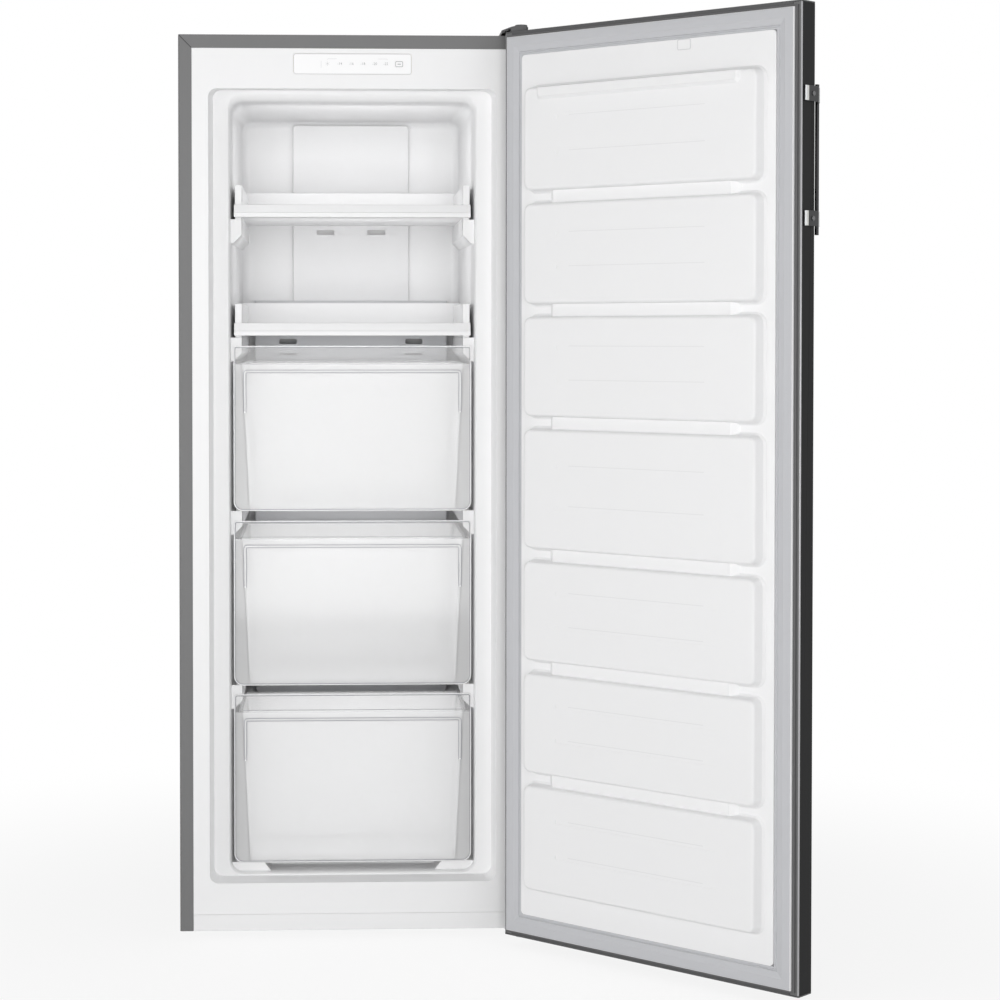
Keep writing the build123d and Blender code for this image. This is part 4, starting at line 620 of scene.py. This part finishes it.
# ---- cabinet details
@dataclass
class ControlMarks:
    """Printed marks of the control panel: numbers of degrees, divider, star, guide lines and outline.

    Places are shares of the panel's width, from its left, and of its height, from its top.
    """

    numbers: tuple[tuple[str, float], ...] = (("-14", 0.392), ("-16", 0.490), ("-18", 0.588), ("-20", 0.688),
                                              ("-22", 0.782))
    number_row: float = 0.49
    number_height: float = 0.124
    digit_share: float = 0.7
    divider: tuple[Pair, ...] = ((0.234, 0.36), (0.234, 0.69))
    star: Pair = (0.288, 0.49)
    star_arm: float = 0.105
    star_angles: Triple = (30.0, 90.0, 150.0)
    guides: tuple[tuple[Pair, ...], ...] = (((0.284, 0.29), (0.294, 0.25), (0.366, 0.25)),
                                            ((0.716, 0.25), (0.788, 0.25), (0.798, 0.29)))
    line: FineLine = FineLine(0.0, 0.5, 0.05, -0.06)
    outline: FineLine = FineLine(0.5, 0.7, 0.05, -0.06)
    corner: float = 3.6
    sides: Sides = field(init=False)
    face: float = field(init=False)

    def __post_init__(self) -> None:
        """Read the panel's sides and its face."""
        low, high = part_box("control_panel")
        self.sides = (low.x / MM, high.x / MM, low.z / MM, high.z / MM)
        self.face = low.y / MM

    @property
    def height(self) -> float:
        """Height of the panel in millimetres."""
        return self.sides[3] - self.sides[2]

    def build(self) -> None:
        """Make the numbers and the lines on the panel's face."""
        self._numbers()
        self._lines()

    def _path(self, shares: tuple[Pair, ...]) -> np.ndarray:
        """Turn shares of the panel into millimetres.

        Args:
            shares: Points as shares of the panel's width and height.

        Returns:
            The same points as X and Z, (n, 2).
        """
        left, right, _, top = self.sides
        across, down = np.array(shares).T
        return np.stack([left + across * (right - left), top - down * self.height], axis=1)

    @staticmethod
    def _flat_text(words: str) -> Form:
        """Turn words into flat triangles.

        Args:
            words: What the text says.

        Returns:
            Vertices (n, 3), centred and as large as text of size 1, and triangles (m, 3).
        """
        curve = bpy.data.curves.new(words, "FONT")
        curve.body = words
        curve.size = 1.0
        curve.resolution_u = 3
        curve.align_x = "CENTER"
        curve.align_y = "CENTER"
        holder = bpy.data.objects.new(words, curve)
        flat = bpy.data.meshes.new_from_object(holder)
        flat.calc_loop_triangles()
        points = np.array([vertex.co for vertex in flat.vertices])
        triangles = np.array([triangle.vertices for triangle in flat.loop_triangles])
        bpy.data.objects.remove(holder)
        bpy.data.meshes.remove(flat)
        bpy.data.curves.remove(curve)
        return points, triangles

    def _numbers(self) -> None:
        """Make the numbers in one piece, just before the panel's face."""
        size = self.number_height * self.height / self.digit_share
        depth = self.face + self.line.front
        forms = []
        for words, across in self.numbers:
            points, triangles = self._flat_text(words)
            x, z = self._path(((across, self.number_row),))[0]
            placed = np.stack([x + points[:, 0] * size, np.full(len(points), depth), z + points[:, 1] * size],
                              axis=1)
            forms.append((placed, triangles))
        make_piece("control_numbers", forms, in_metres, PRINT_GREY, "cabinet")

    def _lines(self) -> None:
        """Make the divider, the six-armed star, the guide lines over the numbers and the outline."""
        centre = self._path((self.star,))[0]
        angles = np.radians(self.star_angles)
        arms = self.star_arm * self.height * np.stack([np.cos(angles), np.sin(angles)], axis=1)
        paths = [self._path(self.divider)]
        paths += [np.array([centre - arm, centre + arm]) for arm in arms]
        paths += [self._path(guide) for guide in self.guides]
        forms = [self.line.drawn(path, self.face) for path in paths]
        around = rounded_frame(drawn_in(self.sides, self.outline.inset), self.corner)
        forms.append(self.outline.drawn(around, self.face, closed=True))
        make_piece("control_lines", forms, in_metres, PRINT_AND_SHADE_LINE, "cabinet")


@dataclass
class ButtonMarks:
    """Frame and dash printed on the set button, which ride on it."""

    frame_half: Pair = (5.5, 4.0)
    corner: float = 1.2
    dash_half: float = 2.8
    frame_line: FineLine = FineLine(0.0, 0.8, 0.05, -0.06)
    dash_line: FineLine = FineLine(0.0, 1.3, 0.05, -0.06)

    def build(self) -> None:
        """Make the frame and the dash."""
        low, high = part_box("set_button")
        x, z = (low.x + high.x) / 2 / MM, (low.z + high.z) / 2 / MM
        face = low.y / MM
        wide, tall = self.frame_half
        around = rounded_frame((x - wide, x + wide, z - tall, z + tall), self.corner)
        dash = np.array([(x - self.dash_half, z), (x + self.dash_half, z)])
        forms = [self.frame_line.drawn(around, face, closed=True), self.dash_line.drawn(dash, face)]
        make_piece("button_marks", forms, in_metres, PRINT_GREY, "button")


@dataclass
class CasingMitres:
    """Slanting joints of the casing's front band at both upper corners, each with a fine painted highlight
    line.
    """

    cabinet: CabinetFrame
    outer_inset: float = 0.6
    inner_gap: float = 0.3
    light_step: float = 0.9
    joint: FineLine = FineLine(0.0, 1.2, 0.05, -0.05)
    # Line of the painted highlight beside each joint.
    edge: FineLine = FineLine(0.0, 0.7, 0.05, -0.04)

    def build(self) -> None:
        """Make a dark line from each outer corner to the inner one, and the painted highlight line over it.
        """
        half, top = self._corner("outer_casing")
        inner, crook = self._corner("inner_liner")
        dark, light = [], []
        for side in (-1.0, 1.0):
            path = np.array([(side * (half - self.outer_inset), top - self.outer_inset),
                             (side * (inner + self.inner_gap), crook + self.inner_gap)])
            dark.append(self.joint.drawn(path, 0.0))
            light.append(self.edge.drawn(path + self.light_step * np.array([1.0, side]), 0.0))
        make_piece("casing_mitre_joints", dark, self.cabinet.points, JOINT_DARK, "cabinet")
        make_piece("casing_mitre_edges", light, self.cabinet.points, BEND_HIGHLIGHT, "cabinet")

    @staticmethod
    def _corner(node: str) -> Pair:
        """Half the width of a node and the height of its top, in millimetres."""
        low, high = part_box(node)
        return (high.x - low.x) / 2 / MM, high.z / MM


@dataclass
class DrawerEdges:
    """Painted highlight and shade lines for a clear drawer's edges: its front's outline, grip frame and rim.

    Insets and drops count from the front's own sides.
    """

    cabinet: CabinetFrame
    drawer_bodies: tuple[tuple[str, str], ...] = (("drawer_upper", "upper_drawer"),
                                                  ("drawer_middle", "middle_drawer"),
                                                  ("drawer_lower", "lower_drawer"))
    lower_corner: float = 15.0
    upper_corner: float = 3.0
    grip_inset: float = 15.7
    grip_drop: float = 38.5
    grip_leg: float = 68.0
    grip_corner: float = 6.0
    least_grip_corner: float = 2.0
    grip_proud: float = 1.2
    rim_drop: float = 26.5
    outline_shade: FineLine = FineLine(2.5, 1.3, 0.1, -0.05)
    outline_highlight: FineLine = FineLine(0.9, 1.3, 0.1, -0.05)
    grip_shades: tuple[FineLine, ...] = (FineLine(0.4, 1.2, 0.03, -0.04), FineLine(4.4, 1.2, 0.03, -0.04))
    grip_highlight: FineLine = FineLine(2.3, 1.4, 0.1, 0.02)
    rim_shade: FineLine = FineLine(14.0, 1.1, 4.1, 3.95)

    def build(self) -> None:
        """Make the lines of each drawer."""
        for node, body in self.drawer_bodies:
            low, high = (self.cabinet.millimetres(np.array(corner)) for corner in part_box(node))
            self._draw(node, body, (low[0], high[0], low[2], high[2]), low[1])

    def _outline(self, front: Sides, inset: float) -> np.ndarray:
        """Front's outline drawn in, with wide corners below and small ones above.

        Args:
            front: Left, right, lower and upper side of the front.
            inset: How far it is drawn in.

        Returns:
            Points (n, 2) as X and Z, from the upper left corner against the clock.
        """
        left, right, bottom, top = drawn_in(front, inset)
        small, wide = self.upper_corner, self.lower_corner - inset
        corners = (((left + small, top - small), small, 1), ((left + wide, bottom + wide), wide, 2),
                   ((right - wide, bottom + wide), wide, 3), ((right - small, top - small), small, 0))
        return np.concatenate([quarter_arc(*corner) for corner in corners])

    def _grip(self, front: Sides, inset: float) -> np.ndarray:
        """One edge of the grip frame: up the left leg, over and down the right leg.

        Args:
            front: Left, right, lower and upper side of the front.
            inset: Way from the grip's outer edge inward.

        Returns:
            Points (n, 2) as X and Z.
        """
        left, right = front[0] + self.grip_inset + inset, front[1] - self.grip_inset - inset
        top = front[3] - self.grip_drop - inset
        foot = front[3] - self.grip_drop - self.grip_leg
        radius = max(self.grip_corner - inset, self.least_grip_corner)
        over_left = quarter_arc((left + radius, top - radius), radius, 1)[::-1]
        over_right = quarter_arc((right - radius, top - radius), radius, 0)[::-1]
        return np.concatenate([[(left, foot)], over_left, over_right, [(right, foot)]])

    def _draw(self, node: str, body: str, front: Sides, grip_face: float) -> None:
        """Make the painted shade lines and the painted highlight lines of one drawer.

        Args:
            node: CAD node of the drawer.
            body: Body it rides on.
            front: Left, right, lower and upper side of the front in cabinet millimetres.
            grip_face: Y of the grip frame's face.
        """
        face = grip_face + self.grip_proud
        rim = front[3] - self.rim_drop
        rim_path = np.array([(front[0] + self.rim_shade.inset, rim), (front[1] - self.rim_shade.inset, rim)])
        shade = [self.outline_shade.drawn(self._outline(front, self.outline_shade.inset), face, closed=True)]
        shade += [line.drawn(self._grip(front, line.inset), grip_face) for line in self.grip_shades]
        shade.append(self.rim_shade.drawn(rim_path, face))
        light = [self.outline_highlight.drawn(self._outline(front, self.outline_highlight.inset), face, closed=True),
                 self.grip_highlight.drawn(self._grip(front, self.grip_highlight.inset), grip_face)]
        # Painted shade and painted highlight lines along the drawer's edges.
        make_piece(f"{node}_shade_lines", shade, self.cabinet.points, CLEAR_EDGE_PAINTED_SHADE, body)
        make_piece(f"{node}_light_lines", light, self.cabinet.points, CLEAR_EDGE_PAINTED_HIGHLIGHT, body)


# ---- door details
@dataclass
class DoorFlange:
    """Painted inner flange of the door's steel wrap, and a painted highlight on its bend, picked out on the
    node's own faces.

    The limits are the least shares of a face's normal that point into the cabinet when the door is closed.
    """

    door: DoorFrame
    flange_limit: float = 0.97
    bend_limit: float = 0.35

    def dress(self) -> None:
        """Give each face of the wrap the finish of the side it looks to."""
        node = frame["nodes"]["door_outer_shell"]
        inward = face_vectors(node, "normal") @ self.door.turned(INWARD)
        # Slot 2, the bend, takes a painted highlight.
        slots = np.where(inward > self.flange_limit, 1, np.where(inward > self.bend_limit, 2, 0))
        paint_faces(node, slots, (FLANGE_GREY, BEND_HIGHLIGHT))


@dataclass
class GasketSides:
    """Painted shade on the gasket's outer lip and painted highlight on its side wall, picked out on the
    node's own faces.
    """

    door: DoorFrame
    lip: float = 3.3
    wall: float = 1.2
    flat_limit: float = 0.9

    def dress(self) -> None:
        """Give the faces outside the fold their painted shade and painted highlight."""
        node = frame["nodes"]["door_gasket"]
        vertices = np.empty(len(node.data.vertices) * 3)
        node.data.vertices.foreach_get("co", vertices)
        reach = self.door.closed(vertices.reshape(-1, 3))
        centres = self.door.closed(face_vectors(node, "center"))
        ways = np.minimum(centres - reach.min(axis=0), reach.max(axis=0) - centres)
        outside = ways[:, (0, 2)].min(axis=1)
        inward = face_vectors(node, "normal") @ self.door.turned(INWARD)
        wall = (outside > self.lip) & (outside < self.lip + self.wall) & (inward < self.flat_limit)
        slots = np.where(outside < self.lip, 1, np.where(wall, 2, 0))
        paint_faces(node, slots, (GASKET_LIP_SHADE, GASKET_SIDE_HIGHLIGHT))


@dataclass
class PanelLines:
    """Painted shade lines of the door's inner panel: along the grooves' lower edges and round the sensor pad.

    The blocks share the height between the two margins as their shares say, with a gap after each. Grooves
    lie at groove_shares of a block's height, from its top. pad is the pad's X, its Z from the door's top, its
    width and its height.
    """

    door: DoorFrame
    shares: tuple[float, ...] = (162.3, 158.3, 157.3, 187.8, 157.8, 158.3, 166.3)
    margin_top: float = 91.0
    margin_bottom: float = 84.0
    gap: float = 16.2
    groove_shares: Pair = (0.31, 0.64)
    groove_half: float = 126.0
    groove_width: float = 6.0
    groove_floor: float = 17.6
    groove_line: FineLine = FineLine(0.9, 1.3, -0.05, 0.05)
    pad: tuple[float, float, float, float] = (-75.0, -48.0, 24.0, 16.0)
    pad_corner: float = 1.9
    pad_face: float = -1.0
    pad_line: FineLine = FineLine(0.6, 1.1, -0.05, 0.05)

    def build(self) -> None:
        """Make the groove lines and the pad's outline."""
        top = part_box("door_top_cap")[1].z / MM
        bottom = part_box("door_bottom_cap")[0].z / MM
        self._grooves(top, bottom)
        self._pad(top)

    def _grooves(self, top: float, bottom: float) -> None:
        """Make a painted shade line along the lower edge of each groove.

        Args:
            top: Height of the door's top.
            bottom: Height of its bottom.
        """
        free = top - bottom - self.margin_top - self.margin_bottom - self.gap * (len(self.shares) - 1)
        unit = free / sum(self.shares)
        lower_edge = self.groove_width / 2 - self.groove_line.inset
        block_top = top - self.margin_top
        forms = []
        for share in self.shares:
            for groove in self.groove_shares:
                z = block_top - groove * share * unit + lower_edge
                path = np.array([(-self.groove_half, z), (self.groove_half, z)])
                forms.append(self.groove_line.drawn(path, self.groove_floor))
            block_top -= share * unit + self.gap
        make_piece("block_groove_lines", forms, self.door.points, GROOVE_PAINTED_SHADE, "door")

    def _pad(self, top: float) -> None:
        """Make the painted shade line round the sensor pad.

        Args:
            top: Height of the door's top.
        """
        x, drop, wide, tall = self.pad
        sides = (x - wide / 2, x + wide / 2, top + drop - tall / 2, top + drop + tall / 2)
        around = rounded_frame(drawn_in(sides, self.pad_line.inset), self.pad_corner)
        outline = self.pad_line.drawn(around, self.pad_face, closed=True)
        # Painted shade round the pad's raised edge.
        make_piece("sensor_pad_outline", [outline], self.door.points, PRINT_AND_SHADE_LINE, "door")


@dataclass
class HandleDetails:
    """Painted sheen and painted highlight on the ends of the two handle brackets, where they lie on the
    door's free edge.

    bracket_steps are the ways from the bar's upper and lower end to the middles of the brackets.
    """

    door: DoorFrame
    bracket_face: float = -277.5
    bracket_height: float = 22.0
    bracket_steps: Pair = (16.3, 22.6)
    margin: float = 0.4
    start: float = -14.0
    sheen_width: float = 4.2
    highlight_width: float = 4.6
    proud: float = 0.15
    sunk: float = 0.2

    def build(self) -> None:
        """Make a painted sheen strip and a painted highlight strip on each bracket."""
        low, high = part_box("handle_bar")
        heights = (high.z / MM - self.bracket_steps[0], low.z / MM + self.bracket_steps[1])
        sheen_end = self.start - self.sheen_width
        x_sides = (self.bracket_face - self.proud, self.bracket_face + self.sunk)
        reach = self.bracket_height / 2 - self.margin
        for name, y_sides, finish in (
                ("bracket_satin_ends", (sheen_end, self.start), ALUMINIUM_AND_PAINTED_SHEEN),
                ("bracket_bright_ends", (sheen_end - self.highlight_width, sheen_end), BUSH_WHITE_AND_PAINTED_HIGHLIGHT)):
            forms = [box_form(x_sides, y_sides, (z - reach, z + reach)) for z in heights]
            make_piece(name, forms, self.door.points, finish, "door")


# ---- studio
@dataclass(frozen=True)
class SoftBox:
    """Rectangular lamp: place and aim in cabinet millimetres, width and height in metres, power in watts."""

    name: str
    place: Triple
    aim: Triple
    size: Pair
    power: float


SOFT_BOXES: tuple[SoftBox, ...] = (
    SoftBox("soft_box_front", (-100.0, -4300.0, 850.0), (40.0, 0.0, 690.0), (2.4, 2.4), 80.0),
    SoftBox("soft_box_left", (-3200.0, -2100.0, 1100.0), (100.0, 0.0, 700.0), (2.0, 2.0), 34.0),
    SoftBox("soft_box_right", (3000.0, -2600.0, 2300.0), (100.0, 0.0, 800.0), (2.0, 2.0), 14.0),
    SoftBox("inside_fill_upper", (0.0, 86.0, 1168.0), (0.0, 400.0, 1168.0), (0.32, 0.30), 0.33),
    SoftBox("inside_fill_lower", (0.0, 86.0, 520.0), (0.0, 400.0, 520.0), (0.32, 0.84), 0.53),
)


@dataclass
class Studio:
    """Pale floor, soft light and the camera at the photograph's viewing angle.

    camera_turn and camera_dip are degrees to the right and down. Between fade_start and fade_end metres from
    the middle, the floor that the camera sees goes from a share fade_glow of plain white to all of it.
    """

    cabinet: CabinetFrame
    camera_place: Triple = (-31.55, -3789.85, 959.83)
    camera_turn: float = 2.337
    camera_dip: float = 1.438
    focal_pixels: float = 2388.7
    picture_pixels: float = 1000.0
    axis_pixel: Pair = (430.35, 395.79)
    sensor_width: float = 36.0
    world_strength: float = 0.34
    floor_half: float = 9.0
    floor_grey: float = 0.88
    fade_start: float = 0.55
    fade_end: float = 1.7
    fade_glow: float = 0.86

    def build(self) -> None:
        """Make the camera, world, lamps and floor."""
        self._camera()
        self._world()
        self._lamps()
        self._floor()
        LOG.info("studio ready")

    def _camera(self) -> None:
        """Camera from the solved place, turn, focal length and optical axis."""
        data = bpy.data.cameras.new("camera")
        data.sensor_width = self.sensor_width
        data.sensor_fit = "HORIZONTAL"
        data.lens = self.focal_pixels / self.picture_pixels * self.sensor_width
        data.shift_x = 0.5 - self.axis_pixel[0] / self.picture_pixels
        data.shift_y = self.axis_pixel[1] / self.picture_pixels - 0.5
        data.clip_start = 0.05
        data.clip_end = 60.0
        camera = bpy.data.objects.new("camera", data)
        camera.location = self.cabinet.points(np.array(self.camera_place))
        camera.rotation_euler = (math.radians(90.0 - self.camera_dip), 0.0, math.radians(-self.camera_turn))
        bpy.context.scene.collection.objects.link(camera)
        bpy.context.scene.camera = camera

    def _world(self) -> None:
        """Even pale surroundings; plain white where the camera, glass or metal sees them."""
        world = bpy.data.worlds.new("surroundings")
        world.use_nodes = True
        tree = world.node_tree
        light = tree.nodes["Background"]
        set_inputs(light, {"Color": WHITE, "Strength": self.world_strength})
        seen = add_node(tree, "Background", {"Color": WHITE, "Strength": 1.0})
        mix = add_node(tree, "MixShader", links={
            "Fac": self._seen_factor(tree), 1: light.outputs["Background"], 2: seen.outputs["Background"]})
        tree.links.new(mix.outputs["Shader"], tree.nodes["World Output"].inputs["Surface"])
        bpy.context.scene.world = world
        bpy.context.scene.view_settings.view_transform = "Standard"

    @staticmethod
    def _seen_factor(tree: bpy.types.NodeTree) -> bpy.types.NodeSocket:
        """Join the camera, glossy and transmission rays into one factor.

        Args:
            tree: Node tree to add the nodes to.

        Returns:
            A socket that is 1 for those rays and 0 for the rest.
        """
        rays = add_node(tree, "LightPath").outputs
        first = add_node(tree, "Math", links={0: rays["Is Camera Ray"], 1: rays["Is Glossy Ray"]},
                         operation="MAXIMUM")
        second = add_node(tree, "Math", links={0: first.outputs["Value"], 1: rays["Is Transmission Ray"]},
                          operation="MAXIMUM")
        return second.outputs["Value"]

    def _lamps(self) -> None:
        """Three large soft boxes round the object, and two fills just inside the open cabinet.

        The fills stand behind the back walls of drawers and trays that are slid right out.
        """
        for box in SOFT_BOXES:
            data = bpy.data.lights.new(box.name, "AREA")
            data.shape = "RECTANGLE"
            data.size, data.size_y = box.size
            data.energy = box.power
            lamp = bpy.data.objects.new(box.name, data)
            start = self.cabinet.points(np.array(box.place))
            heading = self.cabinet.points(np.array(box.aim)) - start
            lamp.location = start
            yaw = math.atan2(heading[0], heading[1])
            pitch = math.atan2(heading[2], math.hypot(heading[0], heading[1]))
            lamp.rotation_euler = (math.pi / 2 + pitch, 0.0, -yaw)
            bpy.context.scene.collection.objects.link(lamp)

    def _floor(self) -> None:
        """Wide flat floor that keeps the object's shadow."""
        half = self.floor_half
        corners = np.array([[-half, -half, 0.0], [half, -half, 0.0], [half, half, 0.0], [-half, half, 0.0]])
        mesh = bpy.data.meshes.new("studio_floor")
        mesh.from_pydata(corners.tolist(), [], [(0, 1, 2, 3)])
        mesh.materials.append(self._floor_material())
        floor = bpy.data.objects.new("studio_floor", mesh)
        bpy.context.scene.collection.objects.link(floor)

    def _floor_material(self) -> bpy.types.Material:
        """Build the floor's material: matt, and fading into plain white where it is seen far off.

        Returns:
            The material.
        """
        mat = bpy.data.materials.new("studio_floor")
        mat.use_nodes = True
        tree = mat.node_tree
        matt = tree.nodes["Principled BSDF"]
        grey = self.floor_grey
        set_inputs(matt, {"Base Color": (grey, grey, grey, 1.0), "Roughness": 0.9, "Specular IOR Level": 0.1})
        glow = add_node(tree, "Emission", {"Color": WHITE, "Strength": 1.0})
        place = add_node(tree, "TexCoord")
        away = add_node(tree, "VectorMath", links={0: place.outputs["Object"]}, operation="LENGTH")
        fade = map_range(tree, away.outputs["Value"], (self.fade_start, self.fade_end), (self.fade_glow, 1.0),
                         "SMOOTHSTEP")
        share = add_node(tree, "Math", links={0: self._seen_factor(tree), 1: fade}, operation="MULTIPLY")
        mix = add_node(tree, "MixShader", links={
            "Fac": share.outputs["Value"], 1: matt.outputs["BSDF"], 2: glow.outputs["Emission"]})
        tree.links.new(mix.outputs["Shader"], tree.nodes["Material Output"].inputs["Surface"])
        return mat


# ---- scene
CLEAR_RIM = 0.029
FRONT_DEPTH = 0.012


def dress_nodes() -> None:
    """Give every node of the frame its finish and its rounded edges.

    A drawer is milky below CLEAR_RIM metres from its top, and more so behind FRONT_DEPTH metres.
    """
    for name, node in frame["nodes"].items():
        finish = NODE_FINISHES[name]
        if finish.milky_alpha > 0:
            low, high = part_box(name)
            finish = replace(finish, name=f"{finish.name}_{name}", milky_below=high.z - CLEAR_RIM,
                             milky_behind=low.y + FRONT_DEPTH)
        node.data.materials.clear()
        node.data.materials.append(finish.material())
        edges = NODE_EDGES.get(name)
        if edges is not None:
            edges.apply(node)
    LOG.info("dressed %d nodes", len(frame["nodes"]))


def main() -> None:
    """Build the scene piece by piece."""
    logging.basicConfig(level=logging.INFO, format="%(name)s: %(message)s")
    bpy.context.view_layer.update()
    cabinet = CabinetFrame()
    door = DoorFrame(cabinet)
    dress_nodes()
    DoorFlange(door).dress()
    GasketSides(door).dress()
    ControlMarks().build()
    ButtonMarks().build()
    CasingMitres(cabinet).build()
    DrawerEdges(cabinet).build()
    PanelLines(door).build()
    HandleDetails(door).build()
    Studio(cabinet).build()


if __name__ == "__main__":
    main()
